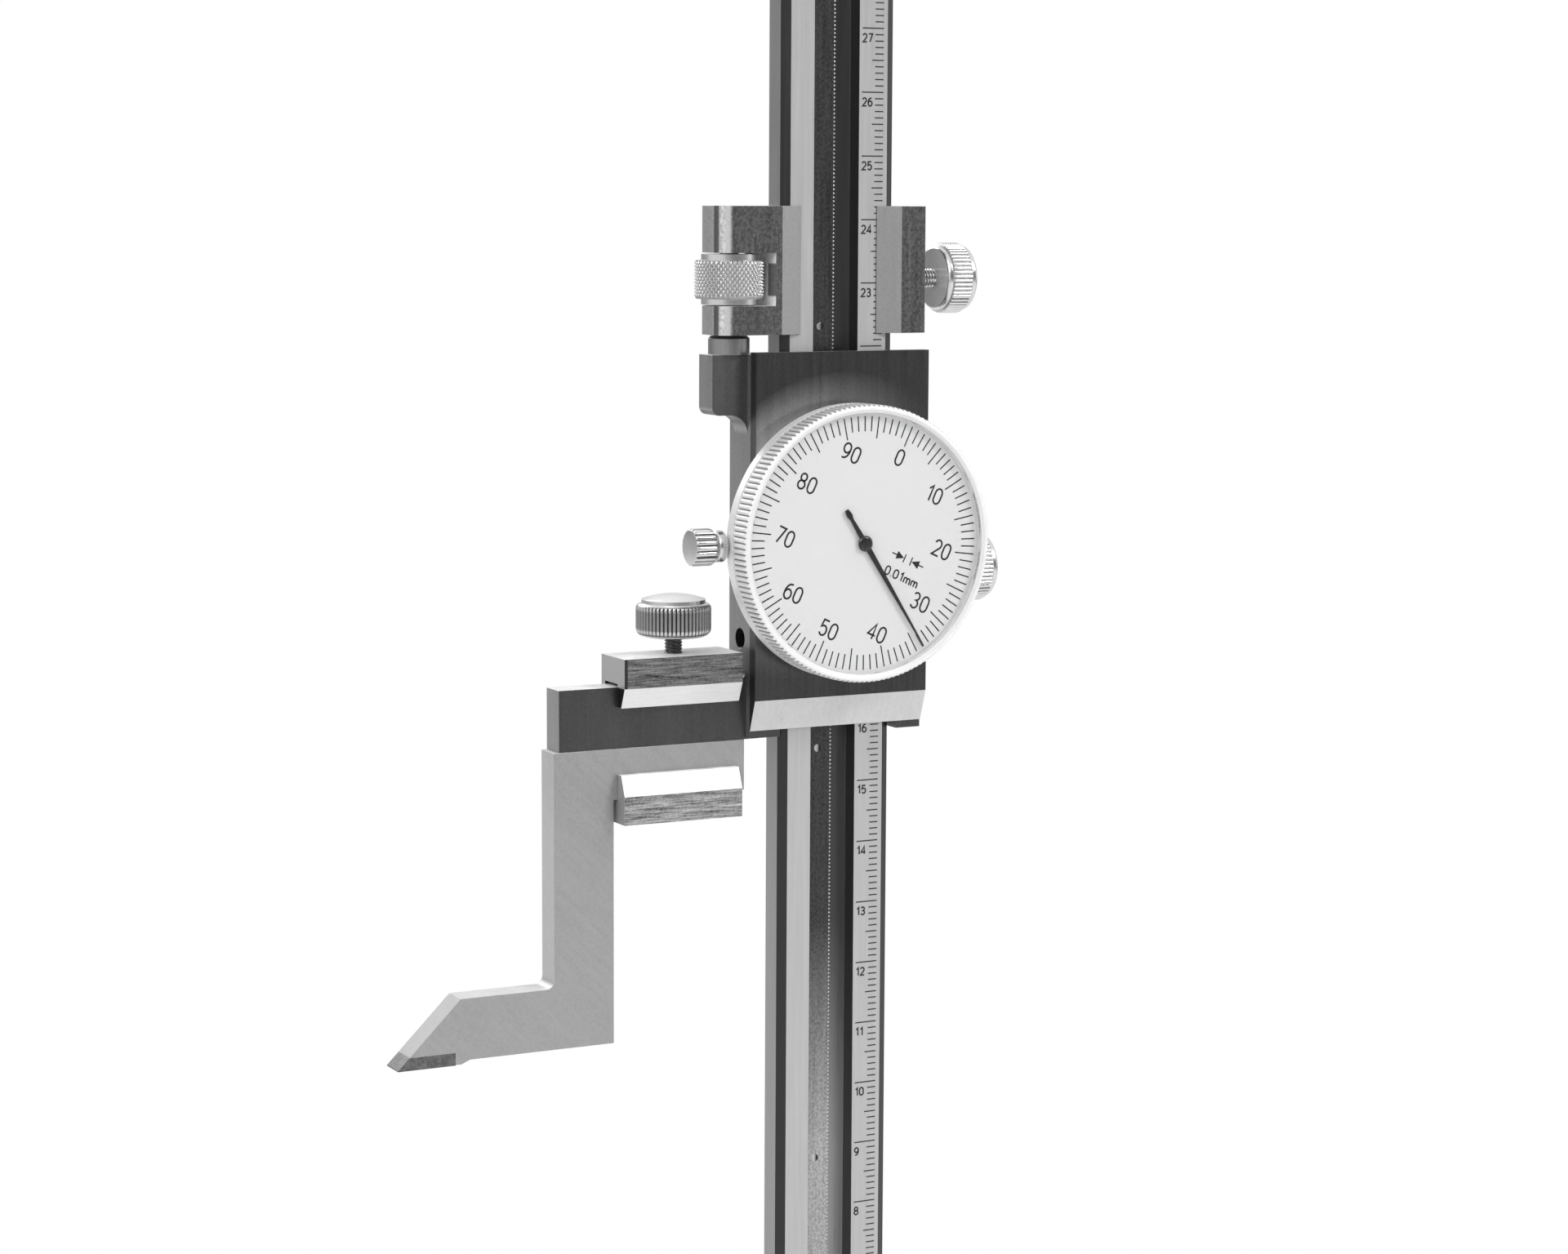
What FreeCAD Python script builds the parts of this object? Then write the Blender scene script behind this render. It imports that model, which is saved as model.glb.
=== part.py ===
import FreeCAD, Part
import math
import os
import re
import Sketcher
from FreeCAD import Rotation, Vector

# A dial height gauge for 0 to 300 mm, in millimetres.
# The origin is on the underside of the base, straight below the middle of the beam's front face.
# +Z is up along the beam, the dial faces -Y and the scriber reaches to -X.

doc = FreeCAD.newDocument("height_gauge")
sheet = doc.addObject("Spreadsheet::Sheet", "Dim")

# Driving dimensions
SIZES = {
    # stand
    "reading": 159.34, "travel": 300.0, "tip_drop": 49.0,
    "base_left": 34.0, "base_right": 76.0, "base_front": 33.0, "base_back": 37.0, "base_height": 34.0,
    "base_toe": 9.0, "grip_depth": 9.0, "grip_radius": 16.0, "base_shoulder": 27.0, "base_corner": 6.0,
    "relief_depth": 1.2, "relief_land": 14.0, "relief_start": 12.0, "base_chamfer": 1.0, "overrun": 1.0,
    "beam_width": 20.0, "beam_thick": 5.6, "beam_foot": 8.0, "beam_top": 446.0,
    "beam_bevel_x": 1.4, "beam_bevel_y": 0.9, "groove_left": 4.475, "groove_right": 3.565, "groove_depth": 3.0,
    "fit": 0.05, "slip": 0.02,
    "block_half": 13.2, "block_corner": 1.5, "block_front": 10.5, "block_back": 16.5, "block_height": 11.0,
    "block_screw_x": 8.0, "block_screw_front": 5.6, "block_screw_back": 11.4,
    "cap_head_radius": 2.75, "cap_head_height": 3.0, "cap_shank_radius": 1.5, "cap_shank_length": 12.0,
    "head_sink": 0.6, "head_gap": 0.15, "shank_spare": 1.0,
    "hex_radius": 1.44, "hex_depth": 1.6, "grub_radius": 2.0, "grub_length": 6.0,
    "stop_height": 5.0, "stop_side": 2.2, "stop_front": 1.6, "stop_corner": 1.2, "stop_screw_x": 6.8,
    "stop_head_radius": 1.9, "stop_head_height": 2.0, "stop_shank_radius": 1.0, "stop_shank_length": 9.0,
    "stop_hex_radius": 0.87,
    # rack and gears
    "rack_pitch": 0.625, "rack_thick": 1.8, "rack_edge": 0.1, "rack_foot": 34.0, "rack_head_gap": 6.0,
    "pinion_teeth": 16.0, "wheel_teeth": 100.0, "centre_teeth": 10.0, "wheel_module": 0.15,
    "backlash": 0.03, "rack_spare": 3.0, "rack_pin_radius": 0.6, "rack_pin_step": 67.6, "rack_pin_first": 69.4,
    "rack_pin_shift": 0.6, "rack_pin_bite": 1.2,
    # gear teeth, in modules and in shares of the tooth pitch
    "tooth_tip": 0.85, "tooth_root": 1.15, "sharp_root": 1.45,
    "tooth_tip_share": 0.09, "tooth_foot_share": 0.4, "sharp_tip_share": 0.056,
    # slider
    "slider_half": 15.5, "slider_height": 60.0, "slider_drop": 1.2, "slider_back": 1.5, "limb_root": 2.0,
    "plate_thick": 2.0, "index_bevel": 5.0, "index_land": 0.2, "gib_thick": 1.0, "gib_margin": 0.35,
    "gib_inset": 2.0, "gib_screw_radius": 0.98, "gib_screw_sunk": 0.4, "pinion_hole_radius": 2.2,
    "gib_screw_low": 8.0, "gib_screw_high": 52.0,
    "plate_screw_left": 12.8, "plate_screw_right": 13.3, "plate_screw_low": 19.0, "plate_screw_high": 40.0,
    "plate_screw_radius": 1.0, "plate_screw_head": 1.8, "plate_screw_sink": 0.9, "plate_screw_depth": 3.0,
    "limb_front": 1.0, "limb_thick": 4.65, "arm_reach": 48.0, "arm_drop": 1.4, "arm_height": 9.65,
    "arm_fillet": 1.3, "ear_reach": 21.7, "ear_base": 50.1, "ear_height": 9.5, "ear_round": 1.3,
    "ear_fillet": 3.0, "side_hole_radius": 1.65, "side_hole_z": 14.5, "side_hole_depth": 4.0,
    "lock_z": 24.3, "lock_boss_radius": 4.2, "lock_boss_length": 5.0,
    "knob_radius": 5.65, "knob_width": 4.5, "knob_dome": 0.75, "knob_edge": 0.4, "knob_shoulder": 1.0,
    "knob_flutes": 40.0, "flute_depth": 0.3, "flute_land": 0.1,
    "lock_screw_radius": 1.5, "lock_gap": 0.1, "lock_knob_x": 23.4, "carrier_knob_x": 18.9,
    # dial
    "dial_z": 30.1, "dial_front": 9.2, "dial_thick": 0.4, "dial_radius": 20.5,
    "case_radius": 20.6, "case_ring_radius": 21.9, "case_ring_back": 4.65, "case_ring_front": 6.5,
    "spigot_radius": 20.0, "case_mouth": 8.2, "case_wall": 1.5, "case_floor": 1.0,
    "bezel_radius": 21.95, "bezel_front": 10.8, "bezel_lip": 20.4, "bezel_flare": 20.8,
    "bezel_chamfer": 0.45, "bezel_rear_edge": 0.3, "crystal_back": 10.2, "crystal_thick": 0.3,
    "crystal_radius": 20.6, "bezel_step": 0.15, "bezel_turn": 25.19, "dial_hole_radius": 0.9,
    "dial_ring_width": 1.0,
    "snap_front": 7.5, "snap_back": 7.15, "snap_inner": 19.7, "snap_outer": 20.35, "snap_gap": 0.1,
    "pointer_back": 9.55, "pointer_thick": 0.2, "pointer_hub": 1.25, "pointer_tip": 19.9, "pointer_tail": 6.4,
    "pointer_root": 0.46, "pointer_end": 0.1, "tail_neck": 0.28, "tail_neck_reach": 4.6, "tail_head": 0.5,
    "tail_head_reach": 5.4, "tail_end": 0.3, "hub_rise": 0.3, "hub_land": 0.15, "hub_round": 0.7,
    "mm_per_turn": 1.0,
    "arbor_radius": 0.5, "spindle_proud": 0.05, "floor_gap": 0.15, "pinion_gap": 0.1,
    "bridge_front": 7.3, "bridge_thick": 0.7, "bridge_edge": 1.1,
    "pillar_radius": 1.0, "pillar_left": 9.5, "pillar_right": 10.4, "pillar_low": 10.8, "pillar_high": 10.2,
    "wheel_front": 5.4, "wheel_thick": 0.5, "centre_overlap": 0.25,
    "screw_y": 3.8, "bezel_knob_radius": 2.93, "bezel_knob_length": 3.6, "bezel_neck_radius": 2.5,
    "bezel_neck_length": 2.3, "bezel_neck_gap": 0.1, "bezel_bead": 0.5, "bezel_knob_edge": 0.45,
    "bezel_knob_flutes": 18.0,
    "bezel_shank_radius": 0.8, "bezel_shank_length": 3.2, "bezel_hole_length": 6.0,
    # fine adjustment
    "stud_x": 17.65, "stud_radius": 1.5, "stud_collar_radius": 3.28, "stud_collar_height": 2.9,
    "stud_foot_gap": 0.3, "stud_edge": 0.4, "stud_spare": 0.3,
    "carrier_bottom": 62.7, "carrier_top": 82.8, "carrier_front": 1.4,
    "carrier_half": 15.0, "lip_inner": 6.8, "lip_outer": 10.7, "window_low": 67.25, "window_high": 75.5,
    "window_wall": 11.8, "lug_round": 2.5, "lug_chamfer": 1.0, "fine_travel": 6.0,
    "lip_step": 0.1, "lug_gap": 0.1, "lug_cap": 0.8, "bridge_root": 2.0,
    "nut_radius": 5.57, "nut_collar_radius": 4.4, "nut_low": 67.4, "nut_high": 75.3,
    "nut_knurl_low": 68.3, "nut_knurl_high": 74.3, "nut_edge_in": 0.3, "nut_edge_up": 0.5,
    "back_plate": 1.5, "carrier_lock_z": 71.3, "pad_length": 1.0,
    # scriber and its clamp
    "clamp_left": 38.0, "clamp_right": 17.5, "clamp_front": 1.6, "clamp_lip": 0.3, "clamp_back": 7.0,
    "clamp_high": 12.85, "clamp_brow": 8.2, "clamp_slot_high": 8.75, "clamp_jaw_high": 5.05, "clamp_jaw_low": 5.55,
    "clamp_chin": 8.75, "clamp_low": 13.25, "clamp_screw_x": 27.25, "clamp_screw_radius": 1.45,
    "clamp_knob_radius": 5.95, "clamp_cap_radius": 5.06, "clamp_knob_low": 15.5, "clamp_knob_high": 20.75,
    "clamp_cap_high": 22.25, "clamp_knob_edge": 1.0, "clamp_knob_foot": 1.3, "clamp_dome": 0.9,
    "clamp_knob_flutes": 55.0,
    "bar_height": 8.05, "scriber_right": 15.9, "leg_left": 48.9, "leg_right": 38.7, "heel_rise": 0.7,
    "foot_top": 10.4, "foot_reach": 64.6, "tip_reach": 75.0, "tip_flat": 0.15, "leg_fillet": 1.3,
    "carbide_reach": 9.5, "carbide_height": 2.0, "carbide_seat": 1.0, "carbide_lap": 0.1, "heel_run": 1.4,
}

for row, (word, value) in enumerate(SIZES.items(), start=1):
    cell = "A%d" % row
    sheet.set(cell, str(value))
    sheet.setAlias(cell, word)
doc.recompute()

WORDS = re.compile(r"\b(%s)\b" % "|".join(sorted(SIZES, key=len, reverse=True)))
IDX = "(reading + tip_drop)"
BACK = "(beam_thick + fit)"
DIAL_Z = IDX + " + dial_z"
MODULE = "(rack_pitch/pi)"
PINION_X = "(pinion_teeth*%s/2 - rack_edge - tooth_tip*%s + backlash)" % (MODULE, MODULE)
CENTRES = "((wheel_teeth + centre_teeth)/2*wheel_module)"
PINION_Z = "%s - sqrt(%s*%s - %s*%s)" % (DIAL_Z, CENTRES, CENTRES, PINION_X, PINION_X)
TAKE_UP_Z = "%s + %s" % (DIAL_Z, CENTRES)
RACK_PIN_X = "-(groove_left + rack_edge + rack_pin_shift)/2"
RACK_PIN_HEIGHTS = ["rack_pin_first + %d*rack_pin_step" % step for step in range(6)]


def bound(text):
    """The expression with each driving dimension read from the sheet."""
    return WORDS.sub(r"Dim.\1", str(text))


def size(text):
    """The present value of an expression, for the places where code needs a number."""
    probe = doc.getObject("Probe") or doc.addObject("App::FeaturePython", "Probe")
    if "amount" not in probe.PropertiesList:
        probe.addProperty("App::PropertyFloat", "amount")
    probe.setExpression("amount", bound(text))
    probe.recompute()
    return float(probe.amount)


# Helpers: each makes one document object whose sizes are bound to the sheet
NODES = []


def node(obj, name):
    obj.Label = name
    NODES.append(obj)
    return obj


def place(obj, x="0", y="0", z="0", turn=None):
    if turn is not None:
        obj.Placement = FreeCAD.Placement(Vector(0, 0, 0), turn)
    for key, text in (("x", x), ("y", y), ("z", z)):
        obj.setExpression("Placement.Base." + key, bound(text))
    return obj


ALONG = {
    "x": Rotation(Vector(0, 1, 0), 90), "-x": Rotation(Vector(0, 1, 0), -90),
    "y": Rotation(Vector(1, 0, 0), -90), "-y": Rotation(Vector(1, 0, 0), 90),
    "z": Rotation(), "-z": Rotation(Vector(1, 0, 0), 180),
}


def block(x0, x1, y0, y1, z0, z1):
    box = doc.addObject("Part::Box", "Block")
    for key, low, high in (("Length", x0, x1), ("Width", y0, y1), ("Height", z0, z1)):
        box.setExpression(key, bound("(%s) - (%s)" % (high, low)))
    return place(box, x0, y0, z0)


def rod(radius, length, x, y, z, along="z"):
    bar = doc.addObject("Part::Cylinder", "Rod")
    bar.setExpression("Radius", bound(radius))
    bar.setExpression("Height", bound(length))
    return place(bar, x, y, z, ALONG[along])


def group(pieces):
    if len(pieces) == 1:
        return pieces[0]
    joined = doc.addObject("Part::MultiFuse", "Group")
    joined.Shapes = pieces
    return joined


def cut(solid, tools):
    cutting = doc.addObject("Part::Cut", "Cut")
    cutting.Base = solid
    cutting.Tool = group(tools)
    return cutting


def fuse(pieces):
    return group(pieces)


def set_of(pieces):
    """Several separate solids that share one node."""
    bundle = doc.addObject("Part::Compound", "Set")
    bundle.Links = pieces
    return bundle


PLANES = {"xy": "XY_Plane", "xz": "XZ_Plane", "yz": "YZ_Plane"}


def sketch_on(body, plane, offset="0"):
    sketch = body.newObject("Sketcher::SketchObject", "Outline")
    origin = next(item for item in body.Origin.OriginFeatures if item.Role == PLANES[plane])
    sketch.AttachmentSupport = [(origin, "")]
    sketch.MapMode = "FlatFace"
    sign = "-" if plane == "xz" else ""
    sketch.setExpression("AttachmentOffset.Base.z", bound("%s(%s)" % (sign, offset)))
    return sketch


def outline(sketch, points):
    """A closed outline. A point is (across, up), or (across, up, radius, side) where the run that
    leads to it is an arc of that radius, bulging to the left (1) or the right (-1) of the run."""
    spots = [Vector(size(point[0]), size(point[1]), 0) for point in points]
    count = len(points)
    first = sketch.GeometryCount
    for number in range(count):
        start, end = spots[number], spots[(number + 1) % count]
        onward = points[(number + 1) % count]
        if len(onward) == 2:
            sketch.addGeometry(Part.LineSegment(start, end))
            continue
        radius = size(onward[2])
        side = onward[3]
        half = (end - start).Length / 2
        sagitta = radius - math.sqrt(max(radius * radius - half * half, 0))
        run = (end - start).normalize()
        normal = Vector(-run.y, run.x, 0) * side
        middle = (start + end) * 0.5 + normal * sagitta
        turning_left = [start, middle, end] if side < 0 else [end, middle, start]
        sketch.addGeometry(Part.Arc(*turning_left))
    ends = []
    for number in range(count):
        shape = sketch.Geometry[first + number]
        forward = shape.StartPoint.distanceToPoint(spots[number]) < 1e-6
        ends.append((1, 2) if forward else (2, 1))
    for number in range(count):
        follow = (number + 1) % count
        sketch.addConstraint(Sketcher.Constraint(
            "Coincident", first + number, ends[number][1], first + follow, ends[follow][0]))
    for number, point in enumerate(points):
        spot = spots[number]
        pin(sketch, "X", first + number, ends[number][0], point[0], spot.x)
        pin(sketch, "Y", first + number, ends[number][0], point[1], spot.y)
        before = (number - 1) % count
        if len(point) > 2:
            index = sketch.addConstraint(Sketcher.Constraint("Radius", first + before, size(point[2])))
            sketch.setExpression("Constraints[%d]" % index, bound(point[2]))
    return sketch


def pin(sketch, direction, line, end, text, value):
    """Fixes one coordinate of a sketch point."""
    if abs(value) < 1e-9:
        kind = "PointOnObject"
        axis = -2 if direction == "X" else -1
        sketch.addConstraint(Sketcher.Constraint(kind, line, end, axis))
        return
    index = sketch.addConstraint(Sketcher.Constraint("Distance" + direction, -1, 1, line, end, value))
    sketch.setExpression("Constraints[%d]" % index, bound(text))


def ring(sketch, x, y, radius):
    line = sketch.addGeometry(Part.Circle(Vector(size(x), size(y), 0), Vector(0, 0, 1), size(radius)))
    pin(sketch, "X", line, 3, x, size(x))
    pin(sketch, "Y", line, 3, y, size(y))
    index = sketch.addConstraint(Sketcher.Constraint("Radius", line, size(radius)))
    sketch.setExpression("Constraints[%d]" % index, bound(radius))


def new_body():
    return doc.addObject("PartDesign::Body", "Body")


def pad(body, plane, points, start, depth):
    """A prism of the outline, from start to start + depth along the plane's positive row axis."""
    sketch = outline(sketch_on(body, plane, start), points)
    feature = body.newObject("PartDesign::Pad", "Pad")
    feature.Profile = sketch
    feature.setExpression("Length", bound(depth))
    feature.Reversed = plane == "xz"
    return feature


def pocket(body, plane, points, start, depth):
    """A cut of the outline, from start to start + depth along the plane's positive row axis."""
    sketch = outline(sketch_on(body, plane, start), points)
    feature = body.newObject("PartDesign::Pocket", "Pocket")
    feature.Profile = sketch
    feature.setExpression("Length", bound(depth))
    feature.Reversed = plane != "xz"
    return feature


def bore(body, plane, spots, radius, start, depth):
    """Round holes at the spots, from start to start + depth along the plane's positive row axis."""
    sketch = sketch_on(body, plane, start)
    for across, up in spots:
        ring(sketch, across, up, radius)
    feature = body.newObject("PartDesign::Pocket", "Bore")
    feature.Profile = sketch
    feature.setExpression("Length", bound(depth))
    feature.Reversed = plane != "xz"
    return feature


def edges_at(body, test):
    """Names of the edges of the body's tip whose middle and direction pass the test."""
    doc.recompute()
    names = []
    for number, edge in enumerate(body.Tip.Shape.Edges, start=1):
        middle = edge.CenterOfMass
        way = edge.tangentAt(edge.FirstParameter)
        if test(middle, way, edge):
            names.append("Edge%d" % number)
    return names


def round_edges(body, test, radius, kind="Fillet"):
    names = edges_at(body, test)
    base = body.Tip
    feature = body.newObject("PartDesign::" + kind, kind)
    feature.Base = (base, names)
    feature.setExpression("Radius" if kind == "Fillet" else "Size", bound(radius))
    return feature


def turned(points, x="0", y="0", z="0", along="z"):
    """A turned piece: the outline (radius, height) revolved, then laid along an axis."""
    body = new_body()
    sketch = outline(sketch_on(body, "xz"), points)
    feature = body.newObject("PartDesign::Revolution", "Turning")
    feature.Profile = sketch
    feature.ReferenceAxis = (sketch, ["V_Axis"])
    feature.Angle = 360
    return place(body, x, y, z, ALONG[along])


def hex_hole(radius, depth, x, y, z, along="z"):
    """A hexagonal socket, its radius measured to the corners."""
    prism = doc.addObject("Part::Prism", "Hex")
    prism.Polygon = 6
    prism.setExpression("Circumradius", bound(radius))
    prism.setExpression("Height", bound(depth))
    return place(prism, x, y, z, ALONG[along])


def cap_screw(x, y, z, kind, shank):
    """A socket head screw along Z whose head's underside is at the given point."""
    head = rod(kind + "_head_radius", kind + "_head_height", x, y, z)
    stem = rod(kind + "_shank_radius", shank, x, y, z, "-z")
    hex_radius = "hex_radius" if kind == "cap" else "stop_hex_radius"
    socket = hex_hole(hex_radius, "hex_depth", x, y, "%s + %s_head_height - hex_depth" % (z, kind))
    return cut(fuse([head, stem]), [socket])


def fluted(body, count, radius, length, x, y, z, along):
    """The turned piece with straight flutes all round, cut to flute_depth under the radius."""
    flutes = int(size(count))
    outer = size(radius) + size("flute_land")
    inner = size(radius) - size("flute_depth")
    points = []
    for half_step in range(2 * flutes):
        reach = inner if half_step % 2 else outer
        angle = math.pi * half_step / flutes
        points.append(Vector(reach * math.cos(angle), reach * math.sin(angle), 0))
    star = doc.addObject("Part::Feature", "Star")
    star.Shape = Part.Face(Part.makePolygon(points + points[:1])).extrude(Vector(0, 0, size(length)))
    place(star, x, y, z, ALONG[along])
    common = doc.addObject("Part::MultiCommon", "Fluted")
    common.Shapes = [body, star]
    return common


# Stand
def make_base():
    body = new_body()
    corner = "base_corner"
    pad(body, "xy", [
        ("-(base_left - base_corner)", "-base_front", corner, -1), ("base_right - base_corner", "-base_front"),
        ("base_right", "-(base_front - base_corner)", corner, -1), ("base_right", "base_back - base_corner"),
        ("base_right - base_corner", "base_back", corner, -1), ("-(base_left - base_corner)", "base_back"),
        ("-base_left", "base_back - base_corner", corner, -1), ("-base_left", "-(base_front - base_corner)"),
    ], "0", "base_height")
    for face, side in (("-base_front", -1), ("base_back", 1)):
        inner = "(%s) - (%d)*grip_depth" % (face, side)
        outer = "(%s) + (%d)*overrun" % (face, side)
        pocket(body, "yz", [
            (outer, "base_toe - overrun"), (face, "base_toe"), (inner, "base_shoulder", "grip_radius", side),
            (inner, "base_height + overrun"), (outer, "base_height + overrun"),
        ], "-(base_left + overrun)", "base_left + base_right + 2*overrun")
    height = size("base_height")
    round_edges(body, lambda m, w, e: abs(m.z - height) < 1e-3, "base_chamfer", "Chamfer")
    pocket(body, "xy", [
        ("relief_start", "-(base_front - relief_land)"),
        ("base_right - relief_land", "-(base_front - relief_land)"),
        ("base_right - relief_land", "base_back - relief_land"), ("relief_start", "base_back - relief_land"),
    ], "0", "relief_depth")
    half = "(beam_width/2 + slip)"
    pocket(body, "xy", [
        ("-" + half, "-slip"), (half, "-slip"), (half, "beam_thick + slip"), ("-" + half, "beam_thick + slip"),
    ], "beam_foot", "base_height")
    bore(body, "xy", block_screws(), "cap_shank_radius + slip", "base_height - cap_shank_length",
         "cap_shank_length")
    node(body, "base")


def block_screws():
    return [(sign + "block_screw_x", far) for sign in ("", "-")
            for far in ("-block_screw_front", "block_screw_back")]


def make_column_block():
    body = new_body()
    pad(body, "xy", [
        ("-block_half", "-block_front"), ("block_half", "-block_front"),
        ("block_half", "block_back"), ("-block_half", "block_back"),
    ], "base_height", "block_height")
    half = "(beam_width/2 + slip)"
    pocket(body, "xy", [
        ("-" + half, "-slip"), (half, "-slip"), (half, "beam_thick + slip"), ("-" + half, "beam_thick + slip"),
    ], "base_height", "block_height")
    bore(body, "xy", block_screws(), "cap_shank_radius + slip", "base_height", "block_height")
    sunk = "(cap_head_height + head_sink)"
    bore(body, "xy", block_screws(), "cap_head_radius + head_gap", "base_height + block_height - " + sunk, sunk)
    grub_z = "base_height + block_height/2"
    bore(body, "xz", [("0", grub_z)], "grub_radius + slip", "beam_thick + slip", "block_back")
    side = size("block_half") - size("fit")
    round_edges(body, lambda m, w, e: abs(w.z) > 0.9 and abs(m.x) > side, "block_corner")
    node(body, "column_block")
    screws = [cap_screw(x, y, "base_height + block_height - " + sunk, "cap",
                        "cap_shank_length + block_height - %s - shank_spare" % sunk)
              for x, y in block_screws()]
    node(set_of(screws), "column_screws")
    grub = cut(rod("grub_radius", "grub_length", "0", "beam_thick + slip", grub_z, "y"),
               [hex_hole("hex_radius", "hex_depth", "0", "beam_thick + slip + grub_length - hex_depth",
                         grub_z, "y")])
    node(grub, "column_grub_screw")


def make_beam():
    body = new_body()
    half = "beam_width/2"
    flat = "beam_width/2 - beam_bevel_x"
    pad(body, "xy", [
        ("-(%s)" % flat, "0"), ("-groove_left", "0"), ("-groove_left", "groove_depth"),
        ("groove_right", "groove_depth"), ("groove_right", "0"), (flat, "0"),
        (half, "beam_bevel_y"), (half, "beam_thick - beam_bevel_y"), (flat, "beam_thick"),
        ("-(%s)" % flat, "beam_thick"), ("-" + half, "beam_thick - beam_bevel_y"), ("-" + half, "beam_bevel_y"),
    ], "beam_foot", "beam_top - beam_foot")
    pins = [(RACK_PIN_X, z) for z in RACK_PIN_HEIGHTS]
    bore(body, "xz", pins, "rack_pin_radius", "groove_depth", "rack_pin_bite")
    bore(body, "xy", stop_screws(), "stop_shank_radius", "beam_top - stop_shank_length", "stop_shank_length")
    node(body, "beam")


def stop_screws():
    return [("-stop_screw_x", "beam_thick/2"), ("stop_screw_x", "beam_thick/2")]


def make_top_stop():
    body = new_body()
    half = "(beam_width/2 + stop_side)"
    pad(body, "xy", [
        ("-" + half, "-stop_front"), (half, "-stop_front"),
        (half, "beam_thick + stop_front"), ("-" + half, "beam_thick + stop_front"),
    ], "beam_top", "stop_height")
    round_edges(body, lambda m, w, e: abs(w.z) > 0.9, "stop_corner")
    seat = "(beam_top + stop_height - stop_head_height - head_sink)"
    bore(body, "xy", stop_screws(), "stop_head_radius + head_gap", seat, "stop_head_height + head_sink")
    bore(body, "xy", stop_screws(), "stop_shank_radius", "beam_top", "stop_height")
    node(body, "top_stop")
    length = seat + " - beam_top + stop_shank_length - shank_spare"
    node(set_of([cap_screw(x, y, seat, "stop", length) for x, y in stop_screws()]), "top_stop_screws")


# Rack and gears
def make_rack():
    pitch = size("rack_pitch")
    tip = -size("rack_edge")
    root = tip - size("(tooth_tip + sharp_root)*" + MODULE)
    spare = size("rack_spare")
    # a space between two teeth lies level with the pinion's axis
    start = size(PINION_Z) - round((size("reading") + spare) / pitch) * pitch
    count = round((size("travel") + 2 * spare) / pitch)
    share = size("sharp_tip_share")
    left = -size("groove_left")
    front = size("groove_depth - rack_thick")
    low = size("rack_foot")
    high = size("beam_top - rack_head_gap")
    points = [Vector(left, front, low), Vector(root, front, low)]
    for tooth in range(count):
        base = start + tooth * pitch
        points.append(Vector(root, front, base))
        points.append(Vector(tip, front, base + (0.5 - share) * pitch))
        points.append(Vector(tip, front, base + (0.5 + share) * pitch))
    points.append(Vector(root, front, start + count * pitch))
    points += [Vector(root, front, high), Vector(left, front, high)]
    face = Part.Face(Part.makePolygon(points + points[:1]))
    strip = doc.addObject("Part::Feature", "Rack")
    strip.Shape = face.extrude(Vector(0, size("rack_thick"), 0))
    front_face = "groove_depth - rack_thick"
    holes = [rod("rack_pin_radius", "rack_thick", RACK_PIN_X, front_face, z, "y") for z in RACK_PIN_HEIGHTS]
    node(cut(strip, holes), "rack")
    pins = [rod("rack_pin_radius", "rack_thick + rack_pin_bite", RACK_PIN_X, front_face, z, "y")
            for z in RACK_PIN_HEIGHTS]
    node(set_of(pins), "rack_pins")


def gear_shape(teeth, module, thick, turn, sharp):
    """A spur gear about the origin, thick along +Y, with a tooth at the angle turn, in degrees from
    +Z towards +X. The spaces of a sharp gear end in an edge, those of the others in a flat."""
    pitch_radius = teeth * module / 2
    outer = pitch_radius + size("tooth_tip") * module
    step = 2 * math.pi / teeth
    if sharp:
        tip = size("sharp_tip_share")
        profile = [(pitch_radius - size("sharp_root") * module, -0.5), (outer, -tip), (outer, tip)]
    else:
        tip = size("tooth_tip_share")
        foot = size("tooth_foot_share")
        inner = pitch_radius - size("tooth_root") * module
        profile = [(inner, -foot), (outer, -tip), (outer, tip), (inner, foot)]
    points = []
    for tooth in range(teeth):
        for radius, share in profile:
            angle = math.radians(turn) + (tooth + share) * step
            points.append(Vector(radius * math.sin(angle), 0, radius * math.cos(angle)))
    return Part.Face(Part.makePolygon(points + points[:1])).extrude(Vector(0, thick, 0))


def shaped(shape, x, y, z):
    """A document object for a shape made about the origin and then moved to its place."""
    piece = doc.addObject("Part::Feature", "Toothed")
    piece.Shape = shape
    return place(piece, x, y, z)


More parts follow.
